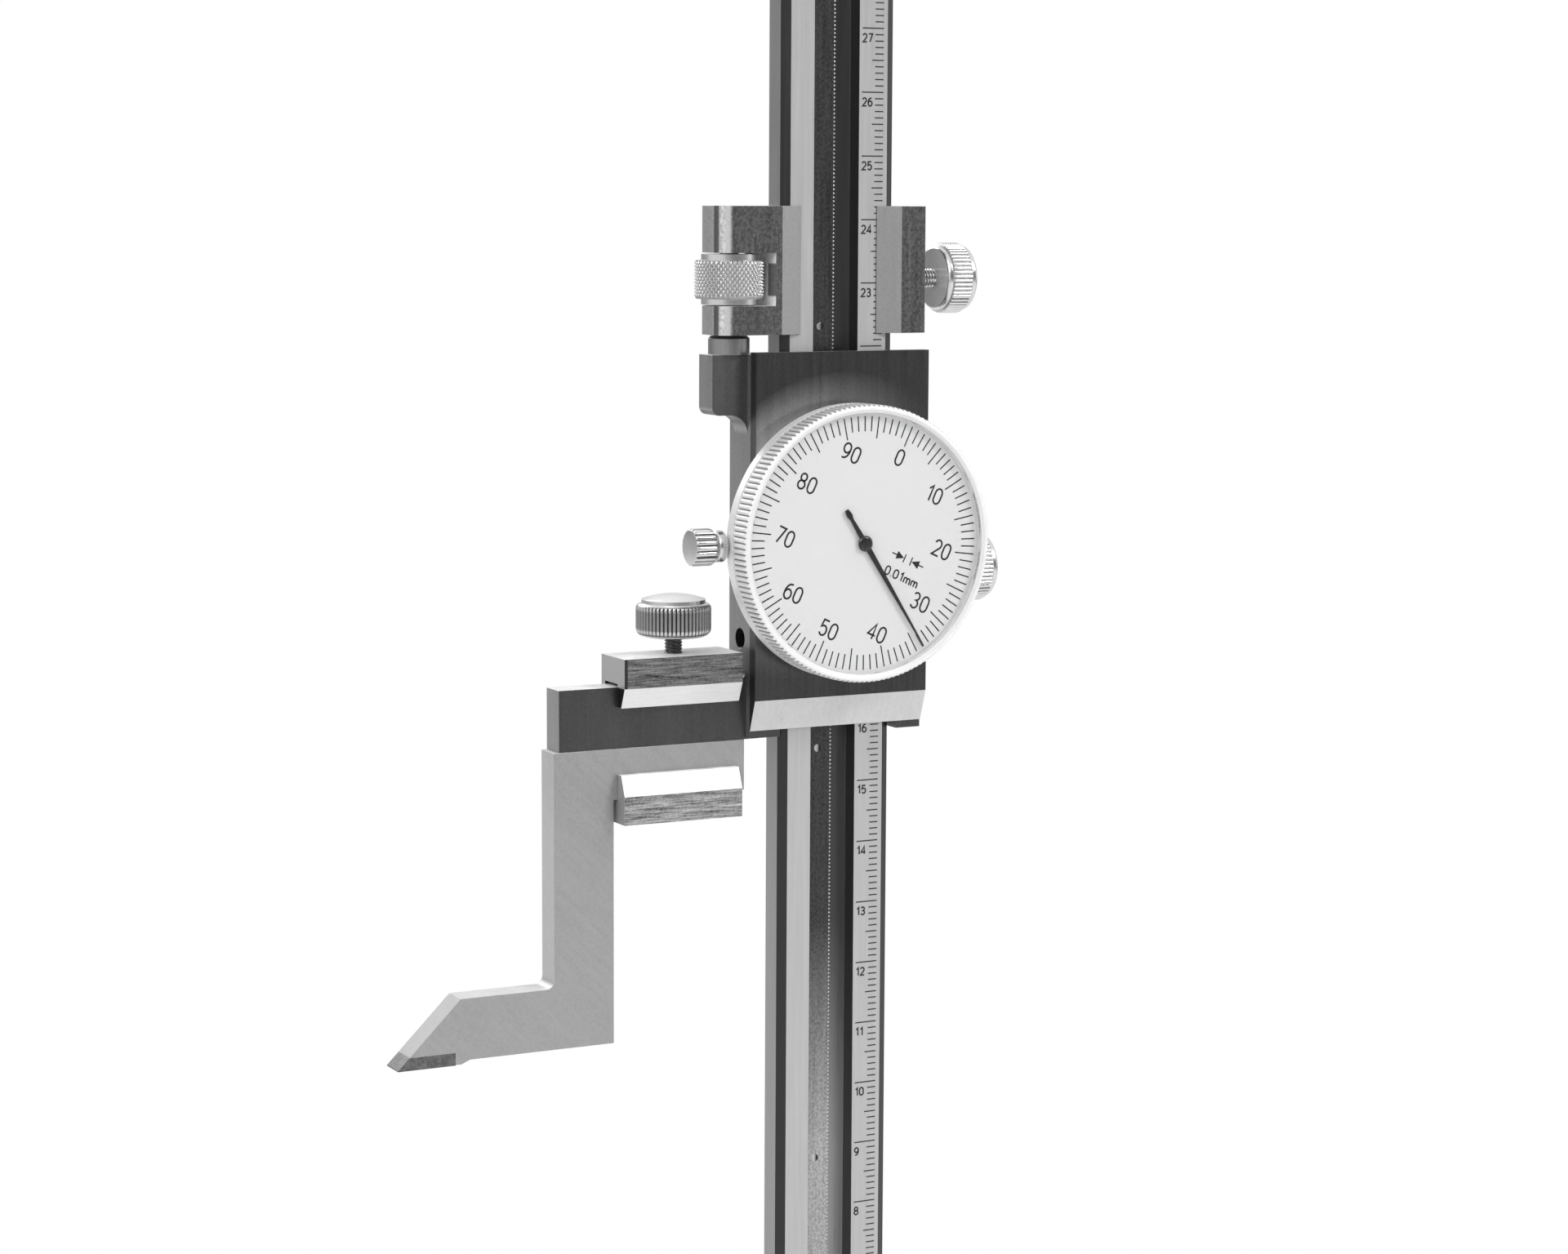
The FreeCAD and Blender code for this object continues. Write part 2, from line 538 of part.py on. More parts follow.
def make_gears():
    pinion_teeth = int(size("pinion_teeth"))
    wheel_teeth = int(size("wheel_teeth"))
    centre_teeth = int(size("centre_teeth"))
    wheel_module = size("wheel_module")
    thick = size("wheel_thick")
    # a pinion tooth points at the rack, and a wheel tooth points at the centre pinion
    pinion = gear_shape(pinion_teeth, size(MODULE), size("rack_thick - pinion_gap"), 90.0, False)
    toward = math.degrees(math.atan2(-size(PINION_X), size("%s - (%s)" % (DIAL_Z, PINION_Z))))
    wheel = gear_shape(wheel_teeth, wheel_module, thick, toward, True)
    arbor = rod("arbor_radius", "bridge_front + groove_depth - pinion_gap", PINION_X, "-bridge_front",
                PINION_Z, "y")
    node(fuse([shaped(pinion, PINION_X, "groove_depth - rack_thick", PINION_Z),
               shaped(wheel, PINION_X, "-wheel_front", PINION_Z), arbor]), "rack_pinion")
    centre_turn = toward + 180 + 180 / centre_teeth
    centre = gear_shape(centre_teeth, wheel_module, size("wheel_thick + 2*centre_overlap"), centre_turn, False)
    spindle_front = "(pointer_back + pointer_thick + hub_rise + spindle_proud)"
    spindle = rod("arbor_radius", spindle_front + " - plate_thick - floor_gap", "0", "-" + spindle_front,
                  DIAL_Z, "y")
    node(fuse([shaped(centre, "0", "-(wheel_front + centre_overlap)", DIAL_Z), spindle]), "centre_pinion")
    # how far the centre pinion's tooth stands past the top sets where the take-up gear's space falls
    past = -centre_turn % (360 / centre_teeth)
    take_up_turn = 180 + 180 / wheel_teeth + past * centre_teeth / wheel_teeth
    take_up = gear_shape(wheel_teeth, wheel_module, thick, take_up_turn, True)
    stub = rod("arbor_radius", "bridge_front - plate_thick - floor_gap", "0", "-bridge_front", TAKE_UP_Z, "y")
    node(fuse([shaped(take_up, "0", "-wheel_front", TAKE_UP_Z), stub]), "take_up_gear")


# Slider
def make_slider():
    body = new_body()
    bottom = IDX + " - slider_drop"
    back = BACK + " + slider_back"
    pad(body, "xy", [
        ("-slider_half", "-fit"), ("-(beam_width/2 + fit)", "-fit"), ("-(beam_width/2 + fit)", BACK),
        ("beam_width/2 + gib_thick + 2*fit", BACK), ("beam_width/2 + gib_thick + 2*fit", "-fit"),
        ("slider_half", "-fit"), ("slider_half", back), ("-slider_half", back),
    ], bottom, "ear_base + ear_height + slider_drop")
    root = "-(slider_half - limb_root)"
    arm_low = IDX + " - arm_drop"
    arm_high = arm_low + " + arm_height"
    pad(body, "xz", [
        ("-arm_reach", arm_low), (root, arm_low), (root, arm_high + " + arm_fillet"),
        ("-slider_half", arm_high + " + arm_fillet"),
        ("-(slider_half + arm_fillet)", arm_high, "arm_fillet", 1), ("-arm_reach", arm_high),
    ], "limb_front", "limb_thick")
    ear_low = IDX + " + ear_base"
    ear_high = ear_low + " + ear_height"
    pad(body, "xz", [
        (root, ear_low + " - ear_fillet"), (root, ear_high), ("-ear_reach", ear_high),
        ("-ear_reach", ear_low + " + ear_round"), ("-(ear_reach - ear_round)", ear_low, "ear_round", -1),
        ("-(slider_half + ear_fillet)", ear_low), ("-slider_half", ear_low + " - ear_fillet", "ear_fillet", 1),
    ], "limb_front", "limb_thick")
    bore(body, "xy", [("-stud_x", "limb_front + limb_thick/2")], "stud_radius", ear_low, "ear_height")
    bore(body, "yz", [("limb_front + limb_thick/2", IDX + " + side_hole_z")], "side_hole_radius",
         "-slider_half", "side_hole_depth")
    bore(body, "yz", [("beam_thick/2", IDX + " + lock_z")], "lock_screw_radius + fit", "beam_width/2",
         "slider_half")
    bore(body, "yz", [("beam_thick/2", IDX + " + " + z) for z in GIB_SCREWS], "gib_screw_radius + slip",
         "beam_width/2", "slider_half")
    bore(body, "xz", [(x, IDX + " + " + z) for x, z in PLATE_SCREWS], "plate_screw_radius", "-fit",
         "plate_screw_depth + fit")
    boss = cut(rod("lock_boss_radius", "lock_boss_length", "slider_half", "beam_thick/2",
                   IDX + " + lock_z", "x"),
               [rod("lock_screw_radius + fit", "lock_boss_length", "slider_half", "beam_thick/2",
                    IDX + " + lock_z", "x")])
    node(fuse([body, boss]), "slider_body")


GIB_SCREWS = ["gib_screw_low", "gib_screw_high"]
PLATE_SCREWS = [(x, z) for x in ("-plate_screw_left", "plate_screw_right")
                for z in ("plate_screw_low", "plate_screw_high")]


def make_front_plate():
    body = new_body()
    pad(body, "yz", [
        ("-fit", IDX), ("-fit", IDX + " + slider_height"), ("-plate_thick", IDX + " + slider_height"),
        ("-plate_thick", IDX + " + index_bevel"), ("-(fit + index_land)", IDX),
    ], "-slider_half", "2*slider_half")
    bore(body, "xz", [(PINION_X, PINION_Z)], "pinion_hole_radius", "-plate_thick", "plate_thick")
    spots = [(x, IDX + " + " + z) for x, z in PLATE_SCREWS]
    bore(body, "xz", spots, "plate_screw_radius", "-plate_thick", "plate_thick")
    bore(body, "xz", spots, "plate_screw_head", "-plate_thick", "plate_screw_sink")
    node(body, "front_plate")
    start = "-plate_thick + slip"
    screws = [fuse([rod("plate_screw_head - slip", "plate_screw_sink - slip", x, start, z, "y"),
                    rod("plate_screw_radius", "plate_thick + plate_screw_depth - slip - fit", x, start, z, "y")])
              for x, z in spots]
    node(set_of(screws), "front_plate_screws")


def make_gib():
    strip = block("beam_width/2 + fit", "beam_width/2 + fit + gib_thick", "gib_margin", "beam_thick - gib_margin",
                  IDX + " + gib_inset", IDX + " + slider_height - gib_inset")
    node(strip, "gib")
    start = "beam_width/2 + gib_thick + 2*fit"
    screws = [rod("gib_screw_radius", "slider_half - (%s) - gib_screw_sunk" % start, start, "beam_thick/2",
                  IDX + " + " + z, "x") for z in GIB_SCREWS]
    node(set_of(screws), "gib_screws")


def lock_knob(name, stem_from, knob_from, y, z):
    """A knurled lock knob on its screw, along +X, the stem's end at stem_from."""
    shift = "(%s) - (%s)" % (knob_from, stem_from)
    length = shift + " + knob_width + knob_dome"
    body = turned([
        ("0", "0"), ("lock_screw_radius", "0"), ("lock_screw_radius", shift),
        ("knob_radius - knob_edge", shift), ("knob_radius", shift + " + knob_edge"),
        ("knob_radius", shift + " + knob_width"),
        ("knob_radius - knob_shoulder", length), ("0", length),
    ], stem_from, y, z, "x")
    node(fluted(body, "knob_flutes", "knob_radius", length, stem_from, y, z, "x"), name)


def make_stud():
    z = IDX + " + ear_base"
    collar = "ear_height"
    top = "nut_high + fine_travel + stud_spare - ear_base"
    body = turned([
        ("0", "stud_foot_gap"), ("stud_radius", "stud_foot_gap"), ("stud_radius", collar),
        ("stud_collar_radius", collar), ("stud_collar_radius", collar + " + stud_collar_height - stud_edge"),
        ("stud_collar_radius - stud_edge", collar + " + stud_collar_height"),
        ("stud_radius", collar + " + stud_collar_height"), ("stud_radius", top + " - stud_edge"),
        ("stud_radius - stud_edge", top), ("0", top),
    ], "-stud_x", "limb_front + limb_thick/2", z)
    node(body, "fine_stud")


# Dial
def make_case():
    z = IDX + " + dial_z"
    body = turned([
        ("0", "plate_thick"), ("case_radius", "plate_thick"), ("case_radius", "case_ring_back"),
        ("case_ring_radius", "case_ring_back"), ("case_ring_radius", "case_ring_front"),
        ("spigot_radius", "case_ring_front"), ("spigot_radius", "snap_back"), ("snap_inner", "snap_back"),
        ("snap_inner", "snap_front"), ("spigot_radius", "snap_front"), ("spigot_radius", "case_mouth"),
        ("spigot_radius - case_wall", "case_mouth"), ("spigot_radius - case_wall", "plate_thick + case_floor"),
        ("0", "plate_thick + case_floor"),
    ], "0", "0", z, "-y")
    holes = [rod("arbor_radius + fit", "case_floor", x, "-(plate_thick + case_floor)", at, "y")
             for x, at in ARBORS]
    holes.append(rod("bezel_shank_radius + fit", "bezel_hole_length", "-(case_ring_radius + overrun)", "-screw_y",
                     z, "x"))
    node(cut(body, holes), "dial_case")


ARBORS = [("0", DIAL_Z), (PINION_X, PINION_Z), ("0", TAKE_UP_Z)]


def make_snap_ring():
    body = turned([
        ("snap_inner + slip", "snap_back + slip"), ("snap_outer", "snap_back + slip"),
        ("snap_outer", "snap_front - slip"), ("snap_inner + slip", "snap_front - slip"),
    ], "0", "0", IDX + " + dial_z", "-y")
    node(body, "bezel_snap_ring")


def make_bezel():
    inner = "spigot_radius + fit"
    body = turned([
        (inner, "case_ring_front + fit"), ("bezel_radius - bezel_rear_edge", "case_ring_front + fit"),
        ("bezel_radius", "case_ring_front + fit + bezel_rear_edge"),
        ("bezel_radius", "bezel_front - bezel_chamfer"),
        ("bezel_radius - bezel_chamfer", "bezel_front"), ("bezel_flare", "bezel_front"),
        ("crystal_radius + fit", "crystal_back + crystal_thick + fit"), ("crystal_radius + fit", "crystal_back"),
        ("bezel_lip", "crystal_back"), ("bezel_lip", "dial_front"), ("dial_radius + fit", "dial_front"),
        ("dial_radius + fit", "case_mouth + bezel_step"), (inner, "case_mouth + bezel_step"),
        (inner, "snap_front + snap_gap"), ("snap_outer + snap_gap", "snap_front + snap_gap"),
        ("snap_outer + snap_gap", "snap_back - snap_gap"), (inner, "snap_back - snap_gap"),
    ], "0", "0", IDX + " + dial_z", "-y")
    node(body, "bezel")


def make_dial_face():
    z = IDX + " + dial_z"
    disc = rod("dial_radius", "dial_thick", "0", "-dial_front", z, "y")
    node(cut(disc, [rod("dial_hole_radius", "dial_thick", "0", "-dial_front", z, "y")]), "dial_face")
    clamp_ring = turned([
        ("dial_radius - dial_ring_width", "case_mouth + bezel_step"),
        ("dial_radius", "case_mouth + bezel_step"), ("dial_radius", "dial_front - dial_thick"),
        ("dial_radius - dial_ring_width", "dial_front - dial_thick"),
    ], "0", "0", z, "-y")
    node(clamp_ring, "dial_ring")
    node(rod("crystal_radius", "crystal_thick", "0", "-(crystal_back + crystal_thick)", z, "y"), "crystal")


def make_pointer():
    """A tapered pointer with a domed hub and a slim tail that ends in a small head, turned to its reading."""
    body = new_body()
    sketch = sketch_on(body, "xz", "0")
    outline(sketch, [
        ("-pointer_root", "0"), ("-pointer_end", "pointer_tip"), ("pointer_end", "pointer_tip"),
        ("pointer_root", "0"), ("tail_neck", "-tail_neck_reach"), ("tail_head", "-tail_head_reach"),
        ("tail_end", "-pointer_tail"), ("-tail_end", "-pointer_tail"), ("-tail_head", "-tail_head_reach"),
        ("-tail_neck", "-tail_neck_reach"),
    ])
    blade = body.newObject("PartDesign::Pad", "Blade")
    blade.Profile = sketch
    blade.setExpression("Length", bound("pointer_thick"))
    blade.Reversed = True
    turns = size("reading/mm_per_turn") % 1
    place(body, "0", "-(pointer_back + pointer_thick)", DIAL_Z,
          Rotation(Vector(0, 1, 0), size("bezel_turn") + 360 * turns))
    hub = turned([
        ("0", "0"), ("pointer_hub", "0"), ("pointer_hub", "pointer_thick"),
        ("arbor_radius + hub_land", "pointer_thick + hub_rise", "hub_round", -1), ("0", "pointer_thick + hub_rise"),
    ], "0", "-pointer_back", DIAL_Z, "-y")
    hole = rod("arbor_radius", "pointer_thick + hub_rise", "0", "-(pointer_back + pointer_thick + hub_rise)",
               DIAL_Z, "y")
    node(cut(fuse([body, hub]), [hole]), "pointer")


def make_movement():
    back = "-(bridge_front - bridge_thick)"
    plate = block("-(pillar_left + bridge_edge)", "pillar_right + bridge_edge", "-bridge_front", back,
                  DIAL_Z + " - pillar_low - bridge_edge", DIAL_Z + " + pillar_high + bridge_edge")
    holes = [rod("arbor_radius + fit", "bridge_thick", x, "-bridge_front", at, "y") for x, at in ARBORS]
    posts = [rod("pillar_radius", "bridge_front - bridge_thick - plate_thick - case_floor", x, back, at, "y")
             for x, at in (("-pillar_left", DIAL_Z + " - pillar_low"),
                           ("pillar_right", DIAL_Z + " - pillar_low"),
                           ("-pillar_left", DIAL_Z + " + pillar_high"))]
    node(fuse([cut(plate, holes)] + posts), "movement_bridge")


def make_bezel_screw():
    neck = "bezel_shank_length"
    knob = "bezel_shank_length + bezel_neck_length"
    end = knob + " + bezel_knob_length"
    start = "-(case_ring_radius + bezel_neck_gap - bezel_shank_length)"
    body = turned([
        ("0", "0"), ("bezel_shank_radius", "0"), ("bezel_shank_radius", neck),
        ("bezel_neck_radius - bezel_bead", neck), ("bezel_neck_radius", neck + " + bezel_bead"),
        ("bezel_neck_radius", knob + " - bezel_bead"), ("bezel_neck_radius - bezel_bead", knob),
        ("bezel_knob_radius - bezel_knob_edge", knob), ("bezel_knob_radius", knob + " + bezel_knob_edge"),
        ("bezel_knob_radius", end + " - bezel_knob_edge"), ("bezel_knob_radius - bezel_knob_edge", end),
        ("0", end),
    ], start, "-screw_y", DIAL_Z, "-x")
    node(fluted(body, "bezel_knob_flutes", "bezel_knob_radius", end, start, "-screw_y", DIAL_Z, "-x"),
         "bezel_lock_screw")


# Fine adjustment carrier
def make_carrier():
    """The block is one solid: two lugs and the beam's left wall, the right jaw and a back bridge."""
    z0 = IDX + " + carrier_bottom"
    tall = "carrier_top - carrier_bottom"
    body = new_body()
    slot = "(beam_width/2 + fit)"
    back = BACK + " + back_plate"
    pad(body, "xy", [
        ("-(ear_reach - lug_chamfer)", BACK), ("-ear_reach", BACK + " - lug_chamfer"),
        ("-ear_reach", "lug_round - carrier_front"),
        ("-(ear_reach - lug_round)", "-carrier_front", "lug_round", -1),
        ("-lip_outer", "-carrier_front"), ("-lip_inner", "-(fit + lip_step)"), ("-lip_inner", "-fit"),
        ("-" + slot, "-fit"), ("-" + slot, BACK), (slot, BACK), (slot, "-fit"), ("lip_inner", "-fit"),
        ("lip_inner", "-(fit + lip_step)"), ("lip_outer", "-carrier_front"), ("carrier_half", "-carrier_front"),
        ("carrier_half", back), ("-(carrier_half - bridge_root)", back),
        ("-(carrier_half - bridge_root)", BACK),
    ], z0, tall)
    pocket(body, "xy", [
        ("-(ear_reach + overrun)", "-(carrier_front + overrun)"), ("-window_wall", "-(carrier_front + overrun)"),
        ("-window_wall", BACK + " + overrun"), ("-(ear_reach + overrun)", BACK + " + overrun"),
    ], IDX + " + window_low", "window_high - window_low")
    bore(body, "xy", [("-stud_x", "limb_front + limb_thick/2")], "stud_radius + fit + lug_gap", z0,
         "carrier_top - carrier_bottom - lug_cap")
    bore(body, "yz", [("beam_thick/2", IDX + " + carrier_lock_z")], "lock_screw_radius + fit", "beam_width/2",
         "carrier_half")
    node(body, "carrier")
    pad_piece = rod("lock_screw_radius", "pad_length", slot, "beam_thick/2", IDX + " + carrier_lock_z", "x")
    node(pad_piece, "carrier_pad")


def make_nut():
    z = IDX + " + nut_low"
    tall = "nut_high - nut_low"
    low = "nut_knurl_low - nut_low"
    high = "nut_knurl_high - nut_low"
    body = turned([
        ("stud_radius + fit", "0"), ("nut_collar_radius", "0"), ("nut_collar_radius", low),
        ("nut_radius - nut_edge_in", low), ("nut_radius", low + " + nut_edge_up"),
        ("nut_radius", high + " - nut_edge_up"), ("nut_radius - nut_edge_in", high),
        ("nut_collar_radius", high), ("nut_collar_radius", tall), ("stud_radius + fit", tall),
    ], "-stud_x", "limb_front + limb_thick/2", z)
    node(body, "fine_nut")


# Scriber
def make_clamp():
    body = new_body()
    slot_front = "limb_front - fit"
    slot_back = "limb_front + limb_thick + fit"
    pad(body, "yz", [
        ("clamp_back", IDX + " + clamp_high"), ("-clamp_front", IDX + " + clamp_high"),
        ("-clamp_front", IDX + " + clamp_brow"), ("-clamp_lip", IDX + " + clamp_jaw_high"),
        (slot_front, IDX + " + clamp_jaw_high"), (slot_front, IDX + " + clamp_slot_high"),
        (slot_back, IDX + " + clamp_slot_high"), (slot_back, IDX + " - arm_drop - bar_height - 2*fit"),
        (slot_front, IDX + " - arm_drop - bar_height - 2*fit"), (slot_front, IDX + " - clamp_jaw_low"),
        ("-clamp_lip", IDX + " - clamp_jaw_low"), ("-clamp_front", IDX + " - clamp_chin"),
        ("-clamp_front", IDX + " - clamp_low"), ("clamp_back", IDX + " - clamp_low"),
    ], "-clamp_left", "clamp_left - clamp_right")
    bore(body, "xy", [("-clamp_screw_x", "limb_front + limb_thick/2")], "clamp_screw_radius + fit",
         IDX + " + clamp_slot_high - overrun", "clamp_high - clamp_slot_high + overrun")
    node(body, "clamp")


def make_clamp_knob():
    start = "arm_height - arm_drop + fit"
    low = "clamp_knob_low - (%s)" % start
    high = "clamp_knob_high - (%s)" % start
    cap = "clamp_cap_high - (%s)" % start
    body = turned([
        ("0", "0"), ("clamp_screw_radius", "0"), ("clamp_screw_radius", low),
        ("clamp_knob_radius - clamp_knob_foot", low),
        ("clamp_knob_radius", low + " + clamp_knob_foot", "clamp_knob_foot", -1),
        ("clamp_knob_radius", high + " - clamp_knob_edge"),
        ("clamp_knob_radius - clamp_knob_edge", high, "clamp_knob_edge", -1),
        ("clamp_cap_radius", high), ("clamp_cap_radius", cap + " - clamp_dome"),
        ("0", cap, "(clamp_cap_radius*clamp_cap_radius/clamp_dome + clamp_dome)/2", -1),
    ], "-clamp_screw_x", "limb_front + limb_thick/2", IDX + " + " + start)
    node(fluted(body, "clamp_knob_flutes", "clamp_knob_radius", cap, "-clamp_screw_x", "limb_front + limb_thick/2",
                IDX + " + " + start, "z"), "clamp_knob")


def make_scriber():
    body = new_body()
    top = IDX + " - arm_drop - fit"
    under = IDX + " - arm_drop - fit - bar_height"
    low = "reading"
    slope = "reading + foot_top"
    inner = "carbide_seat - (tip_reach - carbide_reach)"
    notch = "reading + carbide_height"
    nose = "-(tip_reach - (carbide_height - tip_flat)*(tip_reach - foot_reach)/(foot_top - tip_flat))"
    pad(body, "xz", [
        ("-leg_left", top), ("-scriber_right", top), ("-scriber_right", under), ("-leg_right", under),
        ("-leg_right", low + " + heel_rise"), (inner + " + heel_run", low + " + heel_rise"),
        (inner, low + " + carbide_lap"),
        ("-(tip_reach - carbide_reach)", low + " + carbide_lap"), ("-(tip_reach - carbide_reach)", notch),
        (nose, notch), ("-foot_reach", slope), ("-(leg_left + leg_fillet)", slope),
        ("-leg_left", slope + " + leg_fillet", "leg_fillet", -1),
    ], "limb_front", "limb_thick")
    node(body, "scriber")
    tip = new_body()
    pad(tip, "xz", [
        ("-(tip_reach - carbide_reach)", low), ("-(tip_reach - carbide_reach)", notch),
        (nose, notch), ("-tip_reach", low + " + tip_flat"), ("-tip_reach", low),
    ], "limb_front", "limb_thick")
    node(tip, "carbide_tip")


make_base()
make_column_block()
make_beam()
make_top_stop()
make_rack()
make_gears()
make_slider()
make_front_plate()
make_gib()
lock_knob("slider_lock_knob", "beam_width/2 + fit + gib_thick + lock_gap", "lock_knob_x", "beam_thick/2",
          IDX + " + lock_z")
make_stud()
make_case()
make_snap_ring()
make_bezel()
make_dial_face()
make_pointer()
make_movement()
make_bezel_screw()
make_carrier()
lock_knob("carrier_lock_knob", "beam_width/2 + 2*fit + pad_length", "carrier_knob_x", "beam_thick/2",
          IDX + " + carrier_lock_z")
make_nut()
make_clamp()
make_clamp_knob()
make_scriber()
doc.recompute()

# Checks, then one file for each sub-part
faults = [item.Name for item in doc.Objects if "Invalid" in item.State or "Error" in item.State]
if faults:
    raise RuntimeError("failed objects: " + ", ".join(faults))
os.makedirs("parts", exist_ok=True)
for item in NODES:
    shape = item.Shape
    if shape.isNull() or not shape.isValid():
        raise RuntimeError("bad shape: " + item.Label)
    shape.exportStep("parts/%s.step" % item.Label)
    box = shape.BoundBox
    print("%-20s solids %d faces %4d volume %10.2f  z %.2f..%.2f" % (
        item.Label, len(shape.Solids), len(shape.Faces), shape.Volume, box.ZMin, box.ZMax))
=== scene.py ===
import math

import bpy
from mathutils import Matrix, Vector


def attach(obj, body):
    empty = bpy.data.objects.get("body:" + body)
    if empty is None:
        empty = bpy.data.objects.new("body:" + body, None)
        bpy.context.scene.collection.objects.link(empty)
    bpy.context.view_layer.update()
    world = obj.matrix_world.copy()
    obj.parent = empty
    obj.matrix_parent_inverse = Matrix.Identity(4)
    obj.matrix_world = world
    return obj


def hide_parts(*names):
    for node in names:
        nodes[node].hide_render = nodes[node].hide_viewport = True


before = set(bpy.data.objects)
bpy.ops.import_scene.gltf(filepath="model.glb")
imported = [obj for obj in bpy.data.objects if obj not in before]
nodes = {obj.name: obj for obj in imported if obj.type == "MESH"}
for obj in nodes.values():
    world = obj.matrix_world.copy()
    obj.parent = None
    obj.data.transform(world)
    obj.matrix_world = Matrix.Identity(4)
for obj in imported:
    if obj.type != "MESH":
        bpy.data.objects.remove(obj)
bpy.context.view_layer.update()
scene = bpy.context.scene

MM = 0.001
X, Y, Z = 0, 1, 2
ABOUT_X, ABOUT_Y, ABOUT_Z = (0, 1, 1), (1, 0, 1), (1, 1, 0)
FRONT = (0, -1, 0)
LEFT = (-1, 0, 0)
UPWARD = (0, 0, 1)
WHITE = (1, 1, 1, 1)

# Places, in millimetres: the origin is under the middle of the beam's front face
SCALE_ZERO = 49.0                # the scale's first line
INDEX_Z = 208.34                 # the plate's reading edge
DIAL_Z = 238.44                  # the dial's centre
DIAL_AXIS = (0, 0, DIAL_Z)
DIAL_FACE_Y = -9.2
BEZEL_RIM = 21.12                # the radius of the inner edge of the bezel's front
BEAM_Y = 2.8                     # the middle of the beam's thickness
LIMB_Y = 3.325                   # the middle of the arm's and the ear's thickness
CLAMP_BROW = INDEX_Z + 8.2       # the lower edge of the clamp's upper front
CLAMP_SCREW_Z = INDEX_Z + 8.3    # the end of the clamp knob's screw, on the arm
CLAMP_KNOB_LOW = 7.2             # from there up to the knob
CLAMP_KNOB_AXIS = (-27.25, LIMB_Y, 0)
NUT_AXIS = (-17.65, LIMB_Y, 0)
NUT_LOW = INDEX_Z + 67.4
SLIDER_KNOB_AXIS = (0, BEAM_Y, INDEX_Z + 24.3)
CARRIER_KNOB_AXIS = (0, BEAM_Y, INDEX_Z + 71.3)
BEZEL_KNOB_AXIS = (0, -3.8, DIAL_Z)
BEZEL_SCREW_X = -18.8            # the end of the bezel lock screw, in the case

# The camera: focal length in millimetres, angles in degrees, place in metres
CAMERA_LENS = 82.1145
CAMERA_AZIMUTH = 27.5353
CAMERA_DIP = 6.9719
CAMERA_ROLL = 0.2882
CAMERA_SPOT = (-0.27009, -0.50010, 0.29364)

# The lamps: name, place and size in metres, power in watts. They all face LAMP_AIM.
LAMP_AIM = (0, 0, 0.22)
LAMPS = [
    ("key", (-0.9, -0.9, 1.2), (0.9, 0.9), 8.0),
    ("high right", (0.75, -0.85, 1.05), (0.35, 0.35), 9.0),
    ("back", (-0.2, 1.2, 0.9), (1.0, 0.7), 6.0),
]

# How bright the studio is that the metal mirrors, by the bearing in degrees from the front to the left
STUDIO = [(-180, 0.4), (-125, 0.8), (-100, 0.95), (-62, 1.0), (-48, 0.35), (-28, 0.2), (10, 0.2), (35, 0.45),
          (52, 1.0), (110, 1.0), (132, 0.5), (155, 0.35), (180, 0.4)]


# Camera, light and floor
def make_camera():
    data = bpy.data.cameras.new("camera")
    data.sensor_fit = "HORIZONTAL"
    data.sensor_width = 36.0
    data.lens = CAMERA_LENS
    data.clip_start = 0.01
    data.clip_end = 20.0
    camera = bpy.data.objects.new("camera", data)
    scene.collection.objects.link(camera)
    azimuth = math.radians(CAMERA_AZIMUTH)
    dip = math.radians(CAMERA_DIP)
    ahead = Vector((math.sin(azimuth) * math.cos(dip), math.cos(azimuth) * math.cos(dip), -math.sin(dip)))
    roll = Matrix.Rotation(math.radians(CAMERA_ROLL), 3, "Z")
    turn = ahead.to_track_quat("-Z", "Y").to_matrix() @ roll
    camera.matrix_world = Matrix.Translation(CAMERA_SPOT) @ turn.to_4x4()
    scene.camera = camera


def node_tree(owner):
    owner.use_nodes = True
    owner.node_tree.nodes.clear()
    return owner.node_tree


def add(tree, kind, **values):
    """A shader node with its properties and its input values set."""
    made = tree.nodes.new(kind)
    for key, value in values.items():
        if key.startswith("in_"):
            name = key[3:].replace("_", " ")
            made.inputs[int(name) if name.isdigit() else name].default_value = value
        else:
            setattr(made, key, value)
    return made


def make_world():
    """White to the camera, a pale light on matt surfaces, and the studio in what is glossy."""
    world = bpy.data.worlds.new("studio")
    scene.world = world
    tree = node_tree(world)
    out = add(tree, "ShaderNodeOutputWorld")
    coord = add(tree, "ShaderNodeTexCoord")
    way = add(tree, "ShaderNodeSeparateXYZ")
    tree.links.new(coord.outputs["Generated"], way.inputs[0])
    leftward, frontward = [joined(tree, "MULTIPLY", way.outputs[axis], -1.0) for axis in (X, Y)]
    bearing = joined(tree, "ARCTAN2", leftward, frontward)
    round_about = add(tree, "ShaderNodeValToRGB")
    elements = round_about.color_ramp.elements
    for number, (degrees, level) in enumerate(STUDIO):
        place = (degrees + 180) / 360
        element = elements[number] if number < 2 else elements.new(place)
        element.position = place
        element.color = (level, level, level, 1)
    tree.links.new(ramp(tree, bearing, -math.pi, math.pi, 0.0, 1.0), round_about.inputs[0])
    overhead = ramp(tree, way.outputs[Z], 0.35, 0.65, 0.0, 1.0)
    mirrored = add(tree, "ShaderNodeBackground", in_Strength=1.0)
    tree.links.new(blend_colours(tree, overhead, round_about.outputs[0], WHITE), mirrored.inputs["Color"])
    ambient = add(tree, "ShaderNodeBackground", in_Color=WHITE, in_Strength=0.55)
    white = add(tree, "ShaderNodeBackground", in_Color=WHITE, in_Strength=1.0)
    path = add(tree, "ShaderNodeLightPath")
    studio = blend_shaders(tree, path.outputs["Is Glossy Ray"], ambient, mirrored)
    tree.links.new(blend_shaders(tree, seen(tree, path), studio, white).outputs[0], out.inputs["Surface"])


